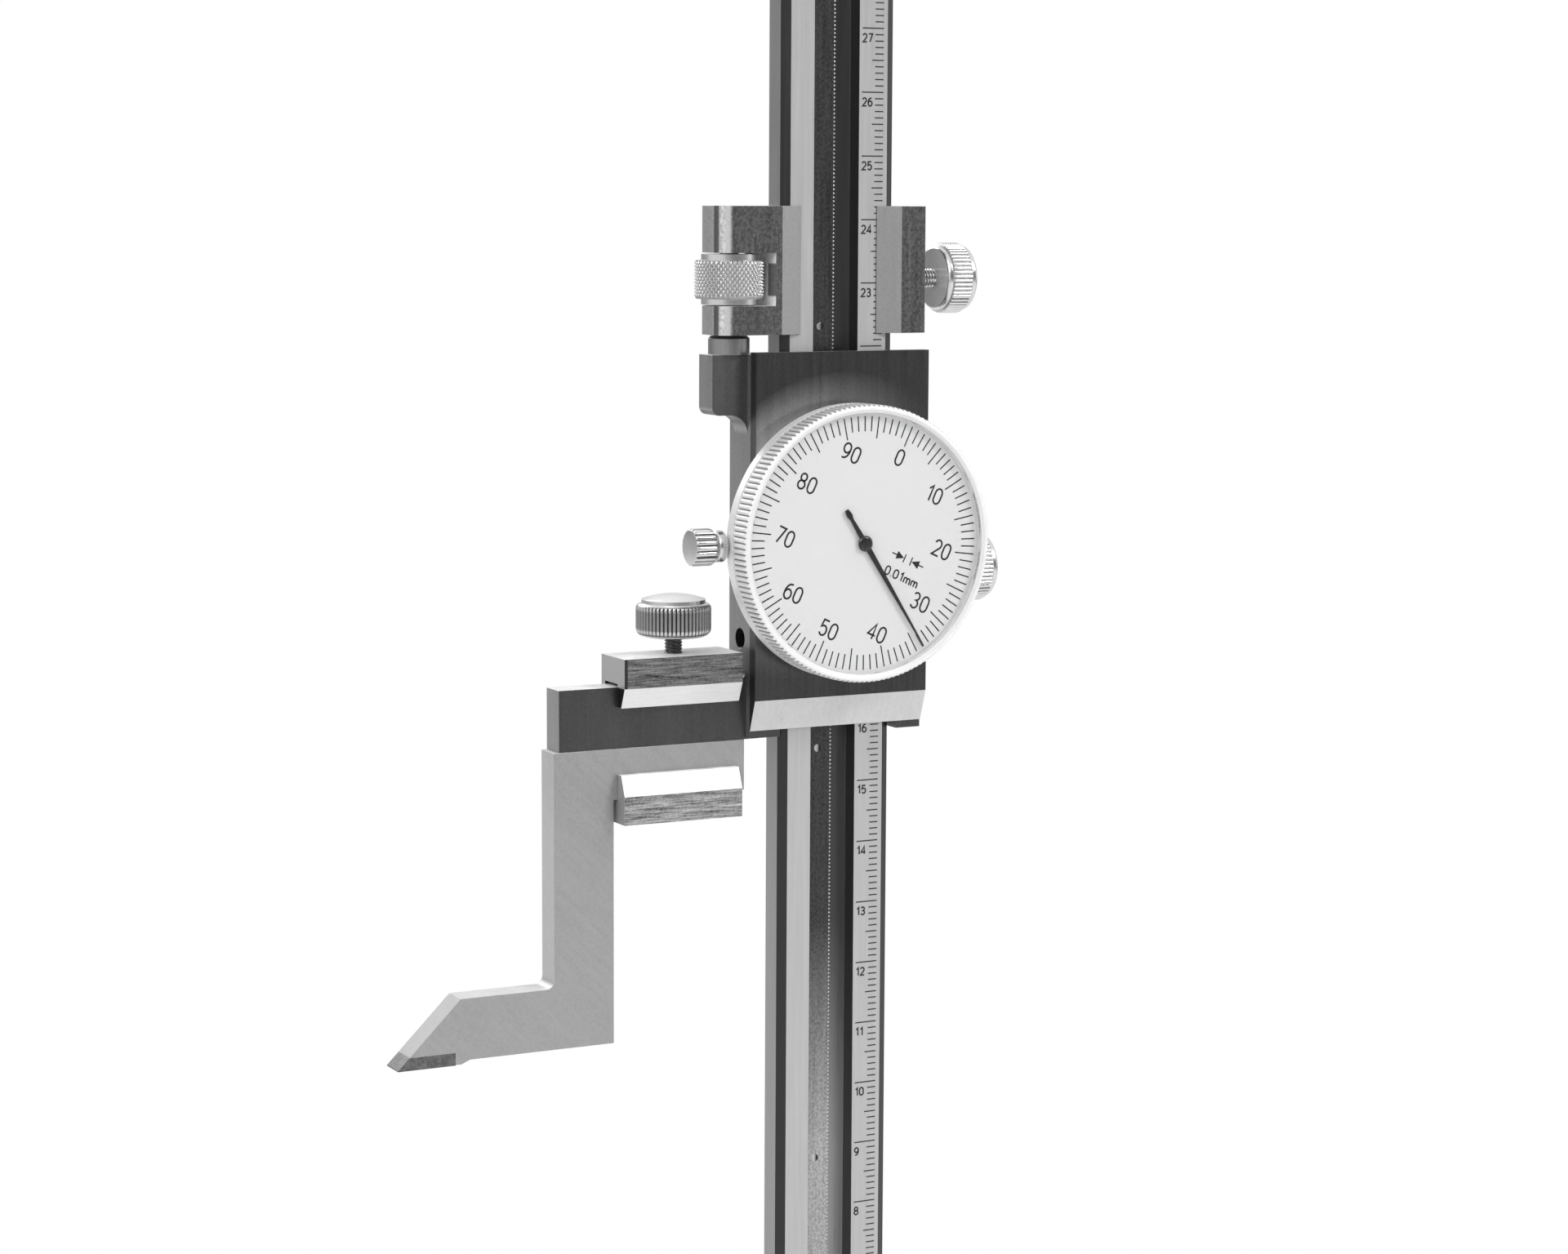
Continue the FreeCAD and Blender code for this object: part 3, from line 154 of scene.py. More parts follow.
def make_lamps():
    for name, spot, across, power in LAMPS:
        data = bpy.data.lights.new(name, "AREA")
        data.shape = "RECTANGLE"
        data.size, data.size_y = across
        data.energy = power
        lamp = bpy.data.objects.new(name, data)
        scene.collection.objects.link(lamp)
        way = Vector(LAMP_AIM) - Vector(spot)
        lamp.matrix_world = Matrix.Translation(spot) @ way.to_track_quat("-Z", "Y").to_matrix().to_4x4()


def make_floor():
    """A pale floor that keeps the shadow near the base and is plain white further off."""
    reach = 6.0
    middle = (0.02, 0, 0)
    near, far = 0.12, 0.36
    mesh = bpy.data.meshes.new("floor")
    mesh.from_pydata([(-reach, -reach, 0), (reach, -reach, 0), (reach, reach, 0), (-reach, reach, 0)], [],
                     [(0, 1, 2, 3)])
    floor = bpy.data.objects.new("floor", mesh)
    scene.collection.objects.link(floor)
    material, tree, surface = new_material("floor_white")
    matte = add(tree, "ShaderNodeBsdfDiffuse", in_Color=(0.9, 0.9, 0.9, 1))
    glow = add(tree, "ShaderNodeEmission", in_Color=WHITE, in_Strength=1.0)
    coord = add(tree, "ShaderNodeTexCoord")
    away = add(tree, "ShaderNodeVectorMath", operation="DISTANCE")
    away.inputs[1].default_value = middle
    tree.links.new(coord.outputs["Object"], away.inputs[0])
    path = add(tree, "ShaderNodeLightPath")
    share = times(tree, ramp(tree, away.outputs["Value"], near, far, 0.5, 1.0), seen(tree, path))
    tree.links.new(blend_shaders(tree, share, matte, glow).outputs[0], surface)
    mesh.materials.append(material)


# Shader helpers
def new_material(name):
    """A material with its empty node tree and the socket for its surface."""
    material = bpy.data.materials.new(name)
    tree = node_tree(material)
    out = add(tree, "ShaderNodeOutputMaterial")
    return material, tree, out.inputs["Surface"]


def grey(level):
    """The linear colour of a grey given as it looks on the screen, from 0 to 255."""
    share = level / 255
    linear = share / 12.92 if share < 0.04045 else ((share + 0.055) / 1.055) ** 2.4
    return (linear, linear, linear, 1)


def ramp(tree, source, low, high, to_low, to_high):
    """A value mapped from one range to another and held at its ends. Low may be the greater one."""
    made = add(tree, "ShaderNodeMapRange")
    for name, value in (("From Min", low), ("From Max", high), ("To Min", to_low), ("To Max", to_high)):
        made.inputs[name].default_value = value
    tree.links.new(source, made.inputs["Value"])
    return made.outputs["Result"]


def streaks(tree, coord, scale, detail=3.0, slant=0.0):
    """Noise drawn out along the axis with the smallest scale, in lines per metre."""
    turn = add(tree, "ShaderNodeMapping")
    turn.inputs["Rotation"].default_value = (0, slant, 0)
    tree.links.new(coord, turn.inputs["Vector"])
    stretch = add(tree, "ShaderNodeMapping")
    stretch.inputs["Scale"].default_value = scale
    tree.links.new(turn.outputs[0], stretch.inputs["Vector"])
    noise = add(tree, "ShaderNodeTexNoise", in_Scale=1.0, in_Detail=detail, in_Roughness=0.6)
    tree.links.new(stretch.outputs[0], noise.inputs["Vector"])
    return noise.outputs["Fac"]


def blend_colours(tree, share, first, second):
    mix = add(tree, "ShaderNodeMix", data_type="RGBA")
    tree.links.new(share, mix.inputs[0])
    for socket, value in ((mix.inputs[6], first), (mix.inputs[7], second)):
        if isinstance(value, tuple):
            socket.default_value = value
        else:
            tree.links.new(value, socket)
    return mix.outputs[2]


def blend_values(tree, share, first, second):
    mix = add(tree, "ShaderNodeMix", data_type="FLOAT")
    tree.links.new(share, mix.inputs[0])
    for socket, value in ((mix.inputs[2], first), (mix.inputs[3], second)):
        if isinstance(value, float):
            socket.default_value = value
        else:
            tree.links.new(value, socket)
    return mix.outputs[0]


def blend_shaders(tree, share, first, second):
    mix = add(tree, "ShaderNodeMixShader")
    for socket, value in zip(mix.inputs, (share, first.outputs[0], second.outputs[0])):
        tree.links.new(value, socket)
    return mix


def joined(tree, kind, first, second, **settings):
    """A step of arithmetic on two values, of which the second may be a number."""
    made = add(tree, "ShaderNodeMath", operation=kind, **settings)
    tree.links.new(first, made.inputs[0])
    if isinstance(second, float):
        made.inputs[1].default_value = second
    else:
        tree.links.new(second, made.inputs[1])
    return made.outputs[0]


def times(tree, first, second):
    return joined(tree, "MULTIPLY", first, second)


def either(tree, first, second):
    return joined(tree, "MAXIMUM", first, second)


def without(tree, first, second):
    return joined(tree, "SUBTRACT", first, second, use_clamp=True)


def seen(tree, path):
    """1 for what the camera sees straight on or through glass."""
    return either(tree, path.outputs["Is Camera Ray"], path.outputs["Is Transmission Ray"])


# Masks: each is 1 on one area of a piece and 0 beside it
def facing(tree, coord, way, low, high):
    """How far a face looks along a direction of its own piece: 0 under low, 1 over high."""
    dot = add(tree, "ShaderNodeVectorMath", operation="DOT_PRODUCT")
    dot.inputs[1].default_value = Vector(way).normalized()
    tree.links.new(coord.outputs["Normal"], dot.inputs[0])
    return ramp(tree, dot.outputs["Value"], low, high, 0.0, 1.0)


def beyond(tree, coord, axis, low, high):
    """How far a point lies past a plane across an axis of its own piece, in millimetres."""
    parts = add(tree, "ShaderNodeSeparateXYZ")
    tree.links.new(coord.outputs["Object"], parts.inputs[0])
    return ramp(tree, parts.outputs[axis], low * MM, high * MM, 0.0, 1.0)


def out_from(tree, coord, centre, flat, low, high):
    """How far a point lies from an axis through the centre, in millimetres: 0 at low, 1 at high.
    Flat has a zero for the direction of the axis."""
    shift = add(tree, "ShaderNodeVectorMath", operation="SUBTRACT")
    tree.links.new(coord.outputs["Object"], shift.inputs[0])
    shift.inputs[1].default_value = Vector(centre) * MM
    across = add(tree, "ShaderNodeVectorMath", operation="MULTIPLY")
    across.inputs[1].default_value = flat
    tree.links.new(shift.outputs[0], across.inputs[0])
    length = add(tree, "ShaderNodeVectorMath", operation="LENGTH")
    tree.links.new(across.outputs[0], length.inputs[0])
    return ramp(tree, length.outputs["Value"], low * MM, high * MM, 0.0, 1.0)


# Materials
BROAD = 0.12    # how much wider the broad streaks are drawn: their scale as a share of the fine scale
GRAINS = (2600, 2600, 2200)
PAINT_GRAINS = (2500, 2500, 2500)


def metal(name, level, rough, brush=(900, 900, 60), contrast=0.14, bump=0.03, metallic=1.0, patches=(),
          edge=0.12, slant=0.0, speckle=0.0, edge_wear_and_sheen=0.35, cloud=0.5):
    """Brushed, blasted or turned metal with edges lightened, partly worn bright and partly a painted highlight.
    Each patch is an area with a grey of its own, many of them painted light and shade:
    (mask maker, grey level, metallic, calm), with calm from 0 to 1 for a smoother one."""
    material, tree, surface = new_material(name)
    shader = add(tree, "ShaderNodeBsdfPrincipled", in_Metallic=metallic)
    tree.links.new(shader.outputs[0], surface)
    coord = add(tree, "ShaderNodeTexCoord")
    lines = streaks(tree, coord.outputs["Object"], brush, slant=slant)
    broad = streaks(tree, coord.outputs["Object"], tuple(value * BROAD for value in brush), 2.0, slant)
    grains = streaks(tree, coord.outputs["Object"], GRAINS, 2.0)
    colour = grey(level)
    shine = metallic
    tone = joined(tree, "ADD", ramp(tree, lines, 0.25, 0.75, 1 - contrast, 1 + contrast),
                  ramp(tree, broad, 0.3, 0.7, -contrast * cloud, contrast * cloud))
    if speckle:
        tone = joined(tree, "ADD", tone, ramp(tree, grains, 0.35, 0.65, -speckle, speckle))
    for maker, other, other_metallic, calm in patches:
        mask = maker(tree, coord)
        colour = blend_colours(tree, mask, colour, grey(other))
        shine = blend_values(tree, mask, shine, other_metallic)
        if calm:
            tone = blend_values(tree, ramp(tree, mask, 0.0, 1.0, 0.0, calm), tone, 1.0)
    if patches:
        tree.links.new(shine, shader.inputs["Metallic"])
    raised = add(tree, "ShaderNodeBump", in_Strength=bump, in_Distance=0.0004)
    tree.links.new(grains if speckle else lines, raised.inputs["Height"])
    if edge:
        rounding = add(tree, "ShaderNodeBevel", samples=4, in_Radius=edge * MM)
        tree.links.new(rounding.outputs[0], raised.inputs["Normal"])
        shape = add(tree, "ShaderNodeNewGeometry")
        match = add(tree, "ShaderNodeVectorMath", operation="DOT_PRODUCT")
        tree.links.new(rounding.outputs[0], match.inputs[0])
        tree.links.new(shape.outputs["Normal"], match.inputs[1])
        # The edges are lightened: partly worn bright, partly a painted highlight along the rounded edges.
        tone = joined(tree, "ADD", tone, ramp(tree, match.outputs["Value"], 0.995, 0.8, 0.0, edge_wear_and_sheen))
    shaded = add(tree, "ShaderNodeVectorMath", operation="SCALE")
    if isinstance(colour, tuple):
        shaded.inputs[0].default_value = colour[:3]
    else:
        tree.links.new(colour, shaded.inputs[0])
    tree.links.new(tone, shaded.inputs["Scale"])
    tree.links.new(shaded.outputs[0], shader.inputs["Base Color"])
    tree.links.new(ramp(tree, lines, 0.2, 0.8, rough * 0.8, rough * 1.25), shader.inputs["Roughness"])
    tree.links.new(raised.outputs[0], shader.inputs["Normal"])
    return material


def paint(name, level, rough=0.5, contrast=0.06, coat=0.0, bump=0.02):
    material, tree, surface = new_material(name)
    shader = add(tree, "ShaderNodeBsdfPrincipled", in_Roughness=rough, in_Coat_Weight=coat)
    tree.links.new(shader.outputs[0], surface)
    coord = add(tree, "ShaderNodeTexCoord")
    noise = streaks(tree, coord.outputs["Object"], PAINT_GRAINS)
    shaded = add(tree, "ShaderNodeVectorMath", operation="SCALE")
    shaded.inputs[0].default_value = grey(level)[:3]
    tree.links.new(ramp(tree, noise, 0.25, 0.75, 1 - contrast, 1 + contrast), shaded.inputs["Scale"])
    tree.links.new(shaded.outputs[0], shader.inputs["Base Color"])
    raised = add(tree, "ShaderNodeBump", in_Strength=bump, in_Distance=0.0002)
    tree.links.new(noise, raised.inputs["Height"])
    tree.links.new(raised.outputs[0], shader.inputs["Normal"])
    return material


def glass(name):
    """Thin clear crystal: mostly see-through, with a faint gloss."""
    material, tree, surface = new_material(name)
    clear = add(tree, "ShaderNodeBsdfTransparent", in_Color=(0.99, 0.99, 0.99, 1))
    gloss = add(tree, "ShaderNodeBsdfGlossy", in_Roughness=0.03, in_Color=WHITE)
    fresnel = add(tree, "ShaderNodeFresnel", in_IOR=1.35)
    weak = joined(tree, "MULTIPLY", fresnel.outputs[0], 0.35)
    tree.links.new(blend_shaders(tree, weak, clear, gloss).outputs[0], surface)
    return material


# Areas of the pieces with a grey of their own: some a finish, many painted light and shade
def on_front(tree, coord):
    return facing(tree, coord, FRONT, 0.97, 0.995)


def on_side(tree, coord):
    return facing(tree, coord, LEFT, 0.8, 0.98)


def on_top(tree, coord):
    return facing(tree, coord, UPWARD, 0.9, 0.99)


def on_ear(tree, coord):
    """The slider's front beside the plate, under the fine adjustment."""
    high = times(tree, on_front(tree, coord), beyond(tree, coord, Z, INDEX_Z + 30, INDEX_Z + 34))
    return without(tree, high, beyond(tree, coord, X, -15.6, -15.5))


def on_index_bevel(tree, coord):
    return facing(tree, coord, (0, -0.93, -0.36), 0.97, 0.995)


def near_dial(tree, coord):
    """Painted reflection: the plate's glow beside the bright bezel, strongest to the upper left."""
    ring = without(tree, on_front(tree, coord), out_from(tree, coord, DIAL_AXIS, ABOUT_Y, 20.5, 26.8))
    ring = times(tree, ring, beyond(tree, coord, X, 16, -18))
    return times(tree, ring, beyond(tree, coord, Z, DIAL_Z - 22, DIAL_Z + 4))


def on_land(tree, coord):
    """The beam's front beside the groove."""
    return without(tree, on_front(tree, coord), beyond(tree, coord, Y, 0.1, 0.2))


def on_chamfer(tree, coord):
    return either(tree, facing(tree, coord, (-0.54, -0.84, 0), 0.95, 0.99),
                  facing(tree, coord, (0.54, -0.84, 0), 0.95, 0.99))


def in_groove(tree, coord):
    """The floor of the beam's groove."""
    return times(tree, on_front(tree, coord), beyond(tree, coord, Y, 2.0, 2.5))


def in_groove_right(tree, coord):
    return times(tree, in_groove(tree, coord), beyond(tree, coord, X, 0.5, 3.4))


def burnished(tree, coord):
    """Painted reflection of the bright floor: a bright stretch low in the groove, whole from 100 to 138 mm over
    the base's foot.
    """
    high = beyond(tree, coord, Z, 176, 138)
    return times(tree, on_front(tree, coord), without(tree, high, beyond(tree, coord, Z, 100, 60)))


def burnished_floor(tree, coord):
    return times(tree, burnished(tree, coord), in_groove(tree, coord))


def on_pin_shade(tree, coord):
    """The right half of the rack's pins."""
    return times(tree, on_front(tree, coord), beyond(tree, coord, X, -2.75, -2.3))


def on_tooth_tips(tree, coord):
    return times(tree, on_front(tree, coord), beyond(tree, coord, X, -0.4, -0.3))


def on_lips(tree, coord):
    """The slanting faces of the carrier beside the beam."""
    slant = either(tree, facing(tree, coord, (0.31, -0.95, 0), 0.96, 0.985),
                   facing(tree, coord, (-0.31, -0.95, 0), 0.96, 0.985))
    return without(tree, slant, on_front(tree, coord))


def on_low_jaw(tree, coord):
    """The clamp's slanting face that looks up, under the arm."""
    return without(tree, facing(tree, coord, (0, -0.9, 0.44), 0.93, 0.98), on_front(tree, coord))


def on_high_jaw(tree, coord):
    """The clamp's slanting face that looks down, over the arm."""
    return without(tree, facing(tree, coord, (0, -0.9, -0.44), 0.93, 0.98), on_front(tree, coord))


def on_low_front(tree, coord):
    """The front of the clamp's lower jaw."""
    return without(tree, on_front(tree, coord), beyond(tree, coord, Z, INDEX_Z - 8, INDEX_Z - 7))


def on_left_strip(tree, coord):
    """The dull border at the left of the clamp's upper front."""
    high = times(tree, on_front(tree, coord), beyond(tree, coord, Z, CLAMP_BROW - 0.1, CLAMP_BROW + 0.1))
    return without(tree, high, beyond(tree, coord, X, -37.6, -37.3))


def on_lip_side(tree, coord):
    """Painted shadow on the left end of the clamp's upper lip."""
    low = without(tree, on_side(tree, coord), beyond(tree, coord, Z, CLAMP_BROW - 0.1, CLAMP_BROW + 0.1))
    lip = times(tree, low, beyond(tree, coord, Z, INDEX_Z + 5.0, INDEX_Z + 5.2))
    return without(tree, lip, beyond(tree, coord, Y, 0.85, 1.05))


def slanting(tree, coord):
    """The scriber's faces that look up to the left."""
    return facing(tree, coord, (-0.7, 0, 0.7), 0.75, 0.95)


def on_nose(tree, coord):
    return without(tree, slanting(tree, coord), beyond(tree, coord, X, -61, -60))


def in_corner(tree, coord):
    return times(tree, slanting(tree, coord), beyond(tree, coord, X, -61, -60))


def on_outer_side(tree, coord):
    return without(tree, on_side(tree, coord), beyond(tree, coord, X, -7, -6))


def in_shade(tree, coord):
    """The groove's wall that faces left."""
    return times(tree, on_side(tree, coord), beyond(tree, coord, X, 3.0, 3.4))


def on_lug_glow(tree, coord):
    """Painted highlight on the rounded ends of the carrier's lugs, where they look to the front left."""
    return without(tree, facing(tree, coord, (-0.6, -0.8, 0), 0.84, 0.95), beyond(tree, coord, X, -14, -13.5))


def on_lug_shade(tree, coord):
    """The same ends further round, where they look more to the left."""
    return without(tree, facing(tree, coord, (-0.93, -0.37, 0), 0.96, 0.985),
                   facing(tree, coord, LEFT, 0.975, 0.99))


def on_lip_edge(tree, coord):
    """The thin side of the right lip, in the shade of the carrier."""
    return times(tree, facing(tree, coord, LEFT, 0.9, 0.98), beyond(tree, coord, X, 5.0, 5.5))


def on_window_wall(tree, coord):
    """The wall behind the nut, in the carrier's window."""
    return times(tree, facing(tree, coord, LEFT, 0.985, 0.998), beyond(tree, coord, X, -13, -12))


def on_window_strip(tree, coord):
    """Painted shade of a recess: the darker upright strip on that wall."""
    front = without(tree, on_window_wall(tree, coord), beyond(tree, coord, Y, 1.2, 1.4))
    middle = without(tree, beyond(tree, coord, Z, INDEX_Z + 68.6, INDEX_Z + 68.9),
                     beyond(tree, coord, Z, INDEX_Z + 73.7, INDEX_Z + 74.0))
    return times(tree, front, middle)


def on_back(tree, coord):
    """The flat back of a thumb knob."""
    return times(tree, facing(tree, coord, LEFT, 0.9, 0.98), beyond(tree, coord, X, 15.0, 15.2))


def on_stem(tree, coord):
    """The clamp knob's screw, under the knob."""
    bottom = CLAMP_SCREW_Z + CLAMP_KNOB_LOW
    shank = out_from(tree, coord, CLAMP_KNOB_AXIS, ABOUT_Z, 1.7, 1.5)
    return without(tree, shank, beyond(tree, coord, Z, bottom - 0.1, bottom + 0.1))


def on_band(tree, coord):
    """The fluted middle of the clamp knob."""
    bottom = CLAMP_SCREW_Z + CLAMP_KNOB_LOW
    band = times(tree, beyond(tree, coord, Z, bottom + 1.0, bottom + 1.4),
                 out_from(tree, coord, CLAMP_KNOB_AXIS, ABOUT_Z, 5.4, 5.6))
    return without(tree, band, beyond(tree, coord, Z, bottom + 4.1, bottom + 4.4))


def on_dome(tree, coord):
    return facing(tree, coord, UPWARD, 0.9, 0.97)


def on_bezel_wall(tree, coord):
    """The slanting wall inside the bezel."""
    return without(tree, beyond(tree, coord, Y, -12, -11.5),
                   out_from(tree, coord, DIAL_AXIS, ABOUT_Y, BEZEL_RIM, BEZEL_RIM + 0.04))


def flute_bottoms(centre, flat, low, high):
    """A mask for painted shade in the grooves round an axis: 1 at the radius low, 0 at the radius high."""
    def maker(tree, coord):
        return without(tree, out_from(tree, coord, centre, flat, low - 0.12, low - 0.06),
                       out_from(tree, coord, centre, flat, low, high))
    return maker


def bezel_flutes(tree, coord):
    shade = flute_bottoms(DIAL_AXIS, ABOUT_Y, 21.68, 21.9)(tree, coord)
    return without(tree, shade, facing(tree, coord, FRONT, 0.3, 0.7))


def chrome(name, centre, flat, low, high, patches=(), groove=(60, 0.9)):
    """Bright chrome with painted shade in the grooves between two radii from an axis, but not on the ends."""
    ends = Vector((1, 1, 1)) - Vector(flat)

    # Painted shade in the knurling's grooves.
    def grooves(tree, coord):
        end = either(tree, facing(tree, coord, ends, 0.6, 0.8), facing(tree, coord, -ends, 0.6, 0.8))
        return without(tree, flute_bottoms(centre, flat, low, high)(tree, coord), end)
    return metal(name, 214, 0.18, (500, 500, 500), 0.06, bump=0.01, edge_wear_and_sheen=0.1, edge=0.05,
                 patches=[*patches, (grooves, *groove, 0)])


def thumb_chrome(name, axis):
    return chrome(name, axis, ABOUT_X, 5.35, 5.55, [(on_back, 192, 0.1, 1)], groove=(150, 0.5))


# Brush marks, in lines per metre along X, Y and Z
UP = (1600, 1600, 50)
ACROSS = (300, 300, 4800)
MATERIALS = {
    "base": metal("base_iron", 86, 0.55, (1200, 1200, 1200), 0.2, 0.15, edge=0.3),
    "block": metal("block_steel", 120, 0.35, (200, 200, 1500)),
    "black": metal("black_steel", 62, 0.4, (900, 900, 900)),
    # Painted reflection of the bright floor low in the groove, and painted shade on the groove's wall.
    "beam": metal("satin_chrome", 150, 0.32, UP, 0.07, patches=[
        (on_land, 181, 0.3, 0), (on_outer_side, 150, 0.7, 0), (in_shade, 80, 0.8, 0), (on_chamfer, 62, 0.9, 0),
        (in_groove, 72, 0.8, 0), (in_groove_right, 102, 0.6, 0), (burnished_floor, 158, 0.4, 0)]),
    # Painted reflection of the bright floor, low on the rack.
    "rack": metal("rack_steel", 74, 0.4, UP, 0.2, speckle=0.25, patches=[
        (burnished, 165, 0.5, 0), (on_tooth_tips, 205, 0.3, 0)]),
    "pin": metal("pin_steel", 190, 0.25, (700, 700, 700), 0.1, patches=[(on_pin_shade, 44, 0.9, 0)]),
    # Painted light: the slider's left-facing sides and its tops are lighter greys than its front.
    "slider": metal("dark_steel", 83, 0.32, UP, 0.08, metallic=0.9, speckle=0.06, cloud=1.0, patches=[
        (on_side, 150, 0.75, 0), (on_top, 248, 0.2, 0), (on_ear, 104, 0.85, 0)]),
    "stud": metal("stud_steel", 150, 0.3, UP, 0.1),
    # Painted light: a painted reflection of the bright bezel round the dial, and a lighter top.
    "plate": metal("plate_steel", 74, 0.32, UP, 0.13, metallic=0.9, speckle=0.07, edge=0, patches=[
        (near_dial, 190, 0.6, 0), (on_side, 90, 0.9, 0), (on_index_bevel, 206, 0.3, 0.6),
        (on_top, 150, 0.7, 0)]),
    # Painted light and shade: lighter left-facing sides and tops, a highlight and a shade round the lugs, a
    # wall behind the nut made white so that it looks lit in the nut's shade, with a darker strip for a recess,
    # and a dark edge on the right lip.
    "carrier": metal("carrier_steel", 103, 0.38, UP, 0.16, bump=0.12, speckle=0.3, metallic=0.9, patches=[
        (on_side, 165, 0.6, 0.6), (on_lips, 152, 0.4, 0.85), (on_lug_glow, 192, 0.2, 0),
        (on_lug_shade, 96, 0.9, 0.5), (on_window_wall, 255, 0.0, 0), (on_window_strip, 140, 0.4, 0),
        (on_lip_edge, 40, 0.9, 1), (on_top, 240, 0.2, 0.5)]),
    # Painted light and shade: near-white slanting jaw faces and top, a lighter left-facing side, and a painted
    # shadow on the left end of the upper lip.
    "clamp": metal("clamp_steel", 122, 0.36, ACROSS, 0.9, bump=0.12, speckle=0.2, cloud=0.15, metallic=0.8,
                   patches=[
        (on_high_jaw, 226, 0.25, 0.93), (on_low_jaw, 255, 0.0, 1), (on_side, 172, 0.4, 0.95),
        (on_lip_side, 58, 0.9, 1), (on_low_front, 156, 0.7, 0), (on_left_strip, 60, 0.9, 0.8),
        (on_top, 248, 0.0, 0.8)]),
    # Painted light: the scriber's left-facing sides and its tops are lighter greys.
    "scriber": metal("scriber_steel", 166, 0.36, (900, 900, 120), 0.06, speckle=0.04, metallic=0.7,
                     slant=math.radians(45), patches=[
        (on_side, 188, 0.5, 0), (on_top, 222, 0.2, 0), (on_nose, 166, 0.2, 0), (in_corner, 205, 0.3, 0)]),
    "carbide": metal("carbide", 112, 0.42, (1500, 1500, 1500), 0.35, speckle=0.2),
    "chrome": metal("bright_chrome", 205, 0.24, (500, 500, 500), 0.05, bump=0.01),
    # Painted shade in the bezel's flutes.
    "aluminium": metal("pale_aluminium", 240, 0.38, (800, 800, 800), 0.03, metallic=0.25, bump=0.01,
                       patches=[(bezel_flutes, 95, 0.3, 0), (on_bezel_wall, 222, 0.0, 1)]),
    "brass": metal("brass", 150, 0.3, UP, 0.1),
    "slider_knob": thumb_chrome("slider_knob_chrome", SLIDER_KNOB_AXIS),
    "carrier_knob": thumb_chrome("carrier_knob_chrome", CARRIER_KNOB_AXIS),
    "bezel_knob": chrome("bezel_knob_chrome", BEZEL_KNOB_AXIS, ABOUT_X, 2.63, 2.88),
    # Painted light on the clamp knob's dome, which is white and not metallic where it looks up, and painted
    # shade in its grooves.
    "clamp_knob": chrome("clamp_knob_chrome", CLAMP_KNOB_AXIS, ABOUT_Z, 5.65, 5.9, [
        (on_band, 154, 0.6, 0), (on_dome, 255, 0.0, 1), (on_stem, 96, 0.7, 0)]),
    "nut": chrome("nut_chrome", NUT_AXIS, ABOUT_Z, 5.27, 5.42, groove=(150, 0.6)),
    "dial": paint("dial_paint", 234, 0.55, contrast=0.012, bump=0.005),
    "marks": paint("mark_paint", 22),
    "scale_marks": paint("scale_paint", 36),
    "pointer": paint("pointer_paint", 14, 0.16, coat=0.5),
    "crystal": glass("crystal_glass"),
}
NODE_MATERIALS = {
    "base": "base", "column_block": "block", "column_screws": "black", "column_grub_screw": "black",
    "beam": "beam", "top_stop": "block", "top_stop_screws": "black", "rack": "rack", "rack_pins": "pin",
    "rack_pinion": "brass", "centre_pinion": "pointer", "take_up_gear": "brass", "slider_body": "slider",
    "front_plate": "plate", "front_plate_screws": "black", "gib": "brass", "gib_screws": "black",
    "slider_lock_knob": "chrome", "fine_stud": "stud", "dial_case": "aluminium", "bezel_snap_ring": "rack",
    "bezel": "aluminium", "dial_face": "dial", "dial_ring": "aluminium", "crystal": "crystal",
    "pointer": "pointer", "movement_bridge": "brass", "bezel_lock_screw": "chrome", "carrier": "carrier",
    "carrier_pad": "brass", "carrier_lock_knob": "chrome", "fine_nut": "chrome", "clamp": "clamp",
    "clamp_knob": "chrome", "scriber": "scriber", "carbide_tip": "carbide",
}


def dress(obj, key):
    if not obj.material_slots:
        obj.data.materials.append(MATERIALS[key])
    for slot in obj.material_slots:
        slot.material = MATERIALS[key]


# Meshes
def piece(name, verts, faces, key, body, smooth=False):
    """A mesh object from points in millimetres, dressed, named for its slot and riding on its body."""
    mesh = bpy.data.meshes.new(name)
    mesh.from_pydata([Vector(v) * MM for v in verts], [], faces)
    mesh.validate()
    mesh.update()
    obj = bpy.data.objects.new(name, mesh)
    scene.collection.objects.link(obj)
    mesh.materials.append(MATERIALS[key])
    for face in mesh.polygons:
        face.use_smooth = smooth
    if smooth:
        mesh.set_sharp_from_angle(angle=math.radians(32))
    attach(obj, body)
    return obj


# The direction of each axis of turning, and two directions across it
AXES = {
    "x": (Vector((1, 0, 0)), Vector((0, 1, 0)), Vector((0, 0, 1))),
    "-x": (Vector((-1, 0, 0)), Vector((0, 0, 1)), Vector((0, 1, 0))),
    "-y": (Vector((0, -1, 0)), Vector((1, 0, 0)), Vector((0, 0, 1))),
    "z": (Vector((0, 0, 1)), Vector((1, 0, 0)), Vector((0, 1, 0))),
}


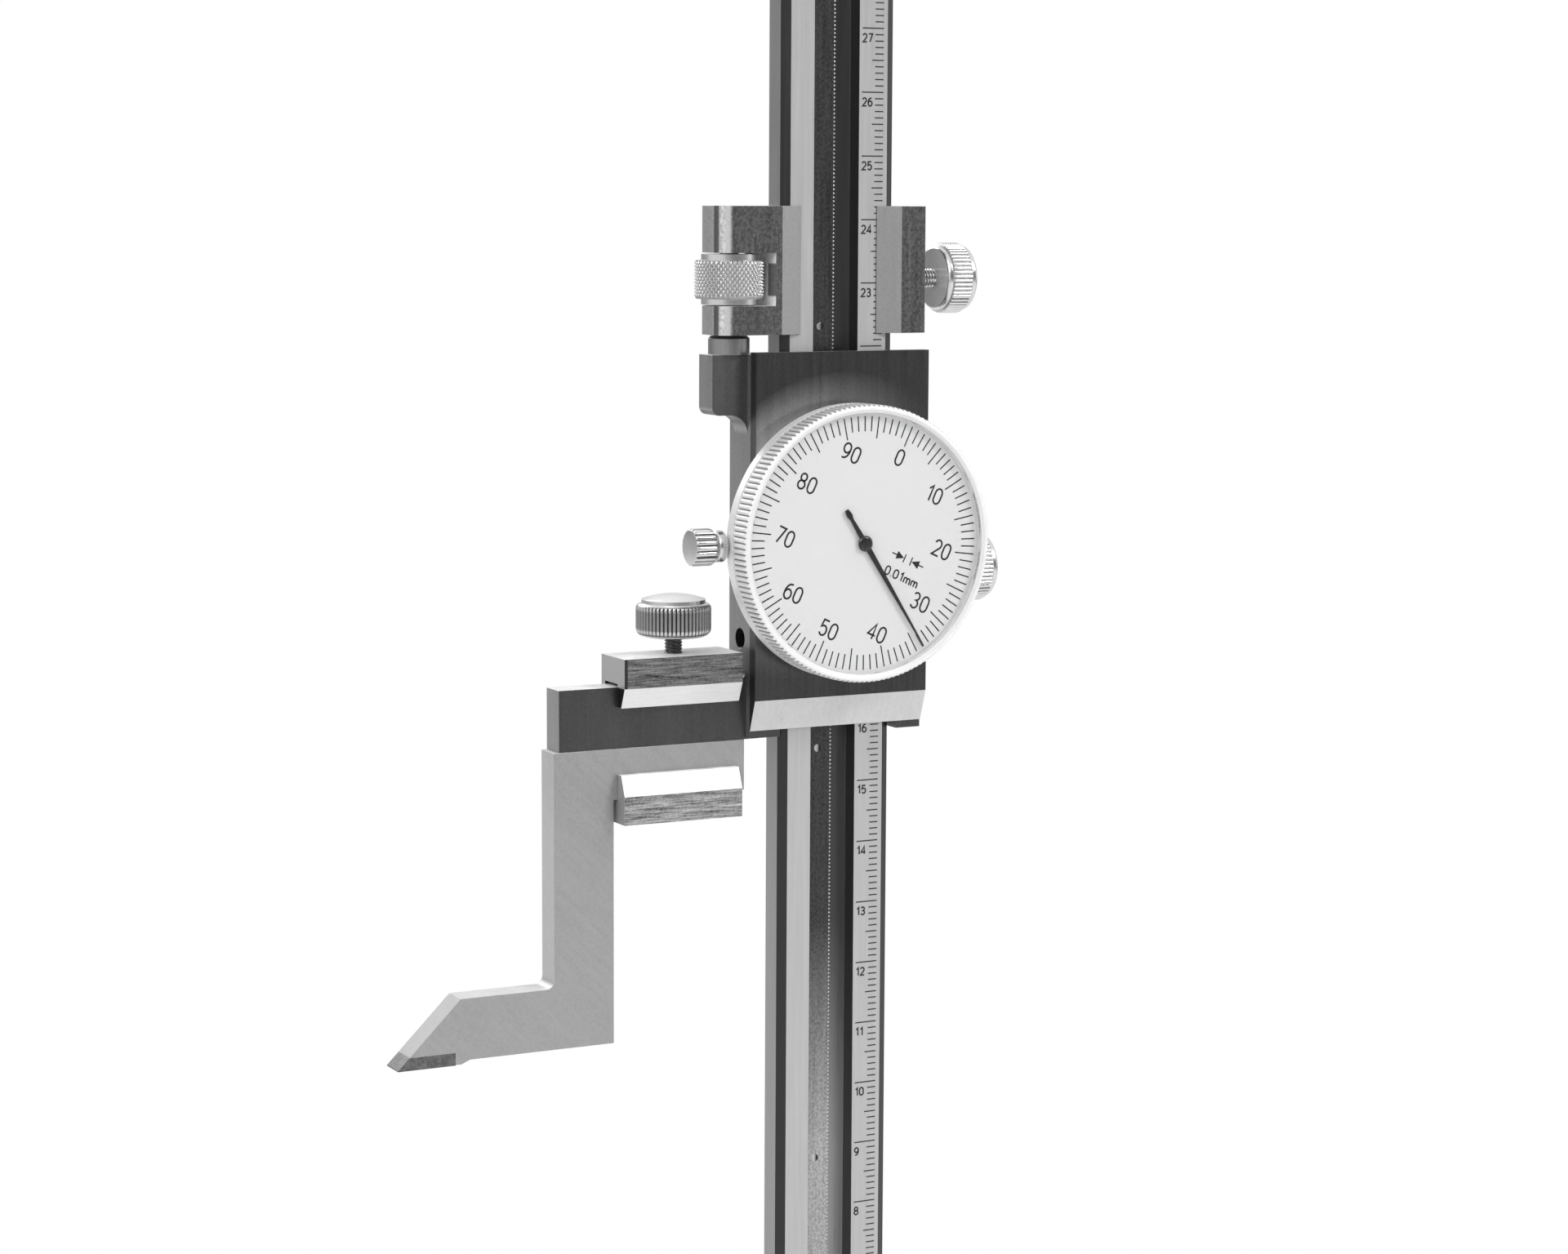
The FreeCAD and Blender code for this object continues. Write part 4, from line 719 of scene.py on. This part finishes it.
def lathe(origin, along, profile, steps, closed=False):
    """Points and faces of a turned form. The profile gives (radius, height) or (radius, height, cut),
    where cut is a function of (turn from 0 to 1, height, radius) that gives the radius there."""
    axis, first, second = AXES[along]
    base = Vector(origin)
    verts, faces, rows = [], [], []
    for spot in profile:
        radius, height = spot[:2]
        cut = spot[2] if len(spot) > 2 else None
        if radius < 1e-6:
            rows.append([len(verts)] * steps)
            verts.append(base + axis * height)
            continue
        row = []
        for step in range(steps):
            share = step / steps
            angle = share * 2 * math.pi
            now = cut(share, height, radius) if cut else radius
            row.append(len(verts))
            way = first * math.cos(angle) + second * math.sin(angle)
            verts.append(base + axis * height + way * now)
        rows.append(row)
    for low, high in zip(rows, rows[1:] + ([rows[0]] if closed else [])):
        for step in range(steps):
            after = (step + 1) % steps
            ring = [low[step], low[after], high[after], high[step]]
            ring = [spot for at, spot in enumerate(ring) if spot not in ring[:at]]
            if len(ring) > 2:
                faces.append(ring)
    return verts, faces


def ridges(count, outer, depth):
    """Straight flutes of one depth under the outer radius, which run out where the form is slimmer."""
    def cut(share, height, radius):
        across = (share * count) % 1.0 - 0.5
        return min(radius, outer - depth * (2 * abs(across)) ** 2.0)
    return cut


def thread(pitch, depth):
    """A screw thread, cut into a shank along its height."""
    def cut(share, height, radius):
        return radius - depth * abs(2 * ((height / pitch - share) % 1.0) - 1)
    return cut


def diamonds(count, pitch, depth):
    """Crossed knurling: small pyramids."""
    def cut(share, height, radius):
        first = (share * count + height / pitch) % 1.0
        second = (share * count - height / pitch) % 1.0
        return radius - depth * (1 - (1 - abs(2 * first - 1)) * (1 - abs(2 * second - 1)))
    return cut


def rows_between(radius, low, high, count, cut):
    return [(radius, low + (high - low) * step / count, cut) for step in range(count + 1)]


def corner(radius, height, size, start, end, cut, steps=6):
    """Rows round a corner with its centre at (radius, height), from one angle to the other."""
    rows = []
    for step in range(steps + 1):
        angle = math.radians(start + (end - start) * step / steps)
        rows.append((radius + size * math.cos(angle), height + size * math.sin(angle), cut))
    return rows


# The depth of the knobs' flutes, and the radii over the flutes or the knurling, in millimetres
FLUTE = 0.3
THUMB_KNOB = 5.65
BEZEL_KNOB = 2.93
CLAMP_KNOB = 5.95
NUT = 5.57
BEZEL = 21.95


def lock_knob(name, node, body, key, stem_from, knob_from, axis):
    """A straight-knurled thumb knob with a domed end, on its threaded stem along +X."""
    shift = knob_from - stem_from
    cut = ridges(50, THUMB_KNOB, FLUTE)
    profile = [(0, 0), (1.2, 0), (1.5, 0.25)]
    profile += rows_between(1.5, 0.3, shift - 0.05, int((shift - 0.35) / 0.1), thread(0.5, 0.27))
    profile += [(2.6, shift), (4.5, shift)] + corner(4.6, shift + 0.6, 0.6, -90, 0, None, 4)
    profile += [(5.2, shift + 0.8)] + corner(5.35, shift + 1.15, 0.3, -90, 0, cut, 3)
    profile += corner(5.35, shift + 4.05, 0.3, 0, 90, cut, 3) + [(5.2, shift + 4.4)]
    profile += corner(4.6, shift + 4.85, 0.6, 0, 75, None, 5)
    profile += [(4.3, shift + 5.48), (2.5, shift + 5.58), (0, shift + 5.6)]
    verts, faces = lathe((stem_from, *axis[1:]), "x", profile, 300)
    made = piece(name, verts, faces, key, body, smooth=True)
    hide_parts(node)


def make_lock_knobs():
    lock_knob("slider_lock_knurled", "slider_lock_knob", "slider_lock", "slider_knob", 11.15, 23.4,
              SLIDER_KNOB_AXIS)
    lock_knob("carrier_lock_knurled", "carrier_lock_knob", "carrier_lock", "carrier_knob", 11.1, 18.9,
              CARRIER_KNOB_AXIS)


def make_bezel_screw():
    cut = ridges(18, BEZEL_KNOB, FLUTE)
    profile = [(0, 0), (0.8, 0), (0.8, 3.2), (1.9, 3.2)] + corner(2.0, 3.9, 0.5, -70, 0, None, 4)
    profile += corner(2.0, 4.6, 0.5, 0, 60, None, 4) + [(2.0, 5.25), (2.0, 5.5)]
    profile += corner(2.53, 5.9, 0.4, -90, 0, cut, 4) + corner(2.53, 8.7, 0.4, 0, 90, cut, 4) + [(0, 9.1)]
    verts, faces = lathe((BEZEL_SCREW_X, *BEZEL_KNOB_AXIS[1:]), "-x", profile, 144)
    made = piece("bezel_lock_knurled", verts, faces, "bezel_knob", "bezel_screw", smooth=True)
    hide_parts("bezel_lock_screw")


def make_clamp_knob():
    """The knob with its threaded screw. Heights are from the screw's end."""
    cut = ridges(55, CLAMP_KNOB, FLUTE)
    low, high, cap, dome = CLAMP_KNOB_LOW, 12.45, 13.95, 0.9
    profile = [(0, 0), (1.2, 0), (1.45, 0.25)] + rows_between(1.45, 0.3, low - 0.05, 68, thread(0.5, 0.25))
    profile += corner(4.65, low + 1.3, 1.3, -90, 0, cut) + corner(5.1, high - 0.85, 0.85, 0, 90, cut)
    profile += [(5.06, high + 0.02)]
    profile += [(5.06 * share, cap - dome * share * share) for share in (0.995, 0.97, 0.9, 0.75, 0.55, 0.3, 0)]
    verts, faces = lathe((*CLAMP_KNOB_AXIS[:2], CLAMP_SCREW_Z), "z", profile, 330)
    made = piece("clamp_knob_knurled", verts, faces, "clamp_knob", "clamp_screw", smooth=True)
    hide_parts("clamp_knob")


def make_nut():
    cut = diamonds(44, 1.0, 0.32)
    profile = [(1.6, 0), (4.4, 0), (4.4, 0.9), (5.2, 0.9)]
    profile += rows_between(NUT, 1.3, 6.5, 52, cut) + [(5.2, 6.9), (4.4, 6.9), (4.4, 7.9), (1.6, 7.9)]
    verts, faces = lathe((*NUT_AXIS[:2], NUT_LOW), "z", profile, 528, closed=True)
    made = piece("fine_nut_knurled", verts, faces, "nut", "nut")
    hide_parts("fine_nut")


def make_bezel():
    cut = ridges(156, BEZEL, 0.28)
    inner = 20.05
    outside = [(inner, 6.55), (21.65, 6.55), (21.85, 6.65), (BEZEL, 6.8, cut), (BEZEL, 10.1, cut),
               (21.9, 10.35, cut), (21.8, 10.5, cut), (21.65, 10.68), (21.5, 10.77)]
    lip = [(21.38, 10.8), (21.22, 10.8), (BEZEL_RIM, 10.77), (20.7, 10.52), (20.65, 10.5)]
    seats = [(20.65, 10.2), (20.4, 10.2), (20.4, 9.2), (20.55, 9.2), (20.55, 8.35), (inner, 8.35),
             (inner, 7.6), (20.45, 7.6), (20.45, 7.05), (inner, 7.05)]
    verts, faces = lathe(DIAL_AXIS, "-y", outside + lip + seats, 936, closed=True)
    made = piece("bezel_knurled", verts, faces, "aluminium", "bezel_body", smooth=True)
    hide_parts("bezel")


# Plain numerals and marks, drawn as strokes in a box one unit high
def arc(x, y, across, up, start, end, steps=10):
    spots = []
    for step in range(steps + 1):
        angle = math.radians(start + (end - start) * step / steps)
        spots.append((x + across * math.cos(angle), y + up * math.sin(angle)))
    return spots


STROKES = {
    "0": [arc(0.3, 0.68, 0.26, 0.32, 0, 180) + arc(0.3, 0.32, 0.26, 0.32, 180, 360) + [(0.56, 0.68)]],
    "1": [[(0.12, 0.76), (0.36, 1.0), (0.36, 0.0)]],
    "2": [arc(0.3, 0.71, 0.25, 0.29, 165, -35) + [(0.05, 0.0), (0.58, 0.0)]],
    "3": [arc(0.29, 0.755, 0.23, 0.245, 155, -90) + arc(0.29, 0.265, 0.26, 0.265, 80, -155)],
    "4": [[(0.44, 0.0), (0.44, 1.0), (0.03, 0.26), (0.6, 0.26)]],
    "5": [[(0.54, 1.0), (0.13, 1.0), (0.09, 0.54)] + arc(0.3, 0.32, 0.26, 0.32, 125, -150)],
    "6": [[(0.5, 0.98)] + arc(0.42, 0.42, 0.37, 0.56, 110, 180, 6) + arc(0.31, 0.31, 0.26, 0.31, 180, 520, 18)],
    "7": [[(0.04, 1.0), (0.57, 1.0), (0.22, 0.0)]],
    "8": [arc(0.3, 0.76, 0.22, 0.24, -90, 270, 16), arc(0.3, 0.27, 0.26, 0.27, 90, 450, 16)],
    "9": [[(0.1, 0.02)] + arc(0.18, 0.58, 0.37, 0.56, -70, 0, 6) + arc(0.29, 0.69, 0.26, 0.31, 0, 340, 18)],
    ".": [[(0.12, 0.0), (0.12, 0.1)]],
    "m": [[(0.06, 0.0), (0.06, 0.66)], arc(0.24, 0.47, 0.18, 0.19, 180, 0, 6) + [(0.42, 0.0)],
          arc(0.6, 0.47, 0.18, 0.19, 180, 0, 6) + [(0.78, 0.0)]],
}
# How far one letter starts after another, in letter heights, and the gap that is part of it
ADVANCE = {"1": 0.62, ".": 0.32, "m": 0.96}
PLAIN_ADVANCE = 0.76
GAP = 0.16


class Marks:
    """Collects thin raised strokes, each a closed strip on a face."""

    def __init__(self, to_space, thick=0.012):
        self.verts, self.faces, self.to_space, self.thick = [], [], to_space, thick

    def stroke(self, spots, width):
        spots = [Vector(spot) for spot in spots]
        spots = [spot for at, spot in enumerate(spots) if at == 0 or (spot - spots[at - 1]).length > 1e-5]
        count = len(spots)
        first = len(self.verts)
        for at, spot in enumerate(spots):
            before = (spot - spots[at - 1]).normalized() if at else None
            after = (spots[at + 1] - spot).normalized() if at < count - 1 else None
            way = ((before or after) + (after or before)).normalized()
            stretch = 1.0
            if before and after:
                stretch = min(1 / max((1 + before.dot(after)) / 2, 0.12) ** 0.5, 2.2)
            side = Vector((-way.y, way.x)) * width / 2 * stretch
            for edge in (spot + side, spot - side):
                self.verts += [self.to_space(edge, self.thick), self.to_space(edge, 0.0)]
        for at in range(count - 1):
            a = first + 4 * at
            b = a + 4
            self.faces += [(a, a + 2, b + 2, b), (a + 1, b + 1, b + 3, a + 3), (a, b, b + 1, a + 1),
                           (a + 2, a + 3, b + 3, b + 2)]
        a, b = first, first + 4 * (count - 1)
        self.faces += [(a, a + 1, a + 3, a + 2), (b, b + 2, b + 3, b + 1)]

    def text(self, words, low_left, height, width, squeeze):
        """Writes the words with their lower left corner at the given point. Squeeze scales their length."""
        x = 0.0
        for letter in words:
            for line in STROKES[letter]:
                self.stroke([Vector(low_left) + Vector(((x + spot[0]) * height * squeeze, spot[1] * height))
                             for spot in line], width)
            x += ADVANCE.get(letter, PLAIN_ADVANCE)


def text_width(words, height, squeeze):
    return (sum(ADVANCE.get(letter, PLAIN_ADVANCE) for letter in words) - GAP) * height * squeeze


TICK = 0.2    # the width of the scale's and the dial's lines, in millimetres


def make_scale():
    """A line for each millimetre and a number for each centimetre, from 0 to 300 mm."""
    marks = Marks(lambda spot, lift: Vector((spot.x, -lift, SCALE_ZERO + spot.y)))
    long, middle, short, right = 4.055, 5.855, 6.375, 7.885
    for step in range(301):
        left = {0: long, 5: middle}.get(step % 10, short)
        marks.stroke([(left, step), (right, step)], TICK)
        if step % 10 == 0 and step > 0:
            marks.text(str(step // 10), (4.1, step - 2.15), 1.25, 0.26, 1.05)
    piece("scale_marks", marks.verts, marks.faces, "scale_marks", "stand")


def make_dial():
    """A line for each hundredth of a turn, a number for each tenth, and the value of one line."""
    turned = math.radians(25.19)

    def on_dial(spot, lift):
        return Vector((spot.x * math.cos(turned) + spot.y * math.sin(turned), DIAL_FACE_Y - lift,
                       DIAL_Z - spot.x * math.sin(turned) + spot.y * math.cos(turned)))

    marks = Marks(on_dial, 0.02)
    outer, short, long = 20.07, 17.67, 16.64
    height, squeeze = 2.5, 0.95
    for step in range(100):
        angle = step / 100 * 2 * math.pi
        way = Vector((math.sin(angle), math.cos(angle)))
        marks.stroke([way * (long if step % 5 == 0 else short), way * outer], TICK)
        if step % 10 == 0:
            words = str(step)
            middle = Vector((way.x * 14.1, way.y * 14.75))
            low_left = middle - Vector((text_width(words, height, squeeze) / 2, height / 2))
            marks.text(words, low_left, height, 0.3, squeeze)
    # the value of one line, under two arrows that point at a pair of lines
    marks.text("0.01mm", (5.3, -2.85), 1.35, 0.25, 1.12)
    middle, up = 8.4, 0.7
    for side in (-1, 1):
        line = middle + side * 0.65
        tip = line + side * 0.15
        marks.stroke([(line, up - 0.7), (line, up + 0.7)], TICK)
        marks.stroke([(tip + side * 1.2, up), (tip + side * 2.3, up)], TICK)
        for step in range(8):
            spot = tip + side * (0.1 + 0.17 * step)
            half = 0.06 + 0.08 * step
            marks.stroke([(spot, up - half), (spot, up + half)], 0.19)
    piece("dial_marks", marks.verts, marks.faces, "marks", "bezel_body")


make_camera()
make_world()
make_floor()
make_lamps()
for node_name, key in NODE_MATERIALS.items():
    dress(nodes[node_name], key)
make_lock_knobs()
make_bezel_screw()
make_clamp_knob()
make_nut()
make_bezel()
make_scale()
make_dial()

scene.view_settings.view_transform = "Standard"
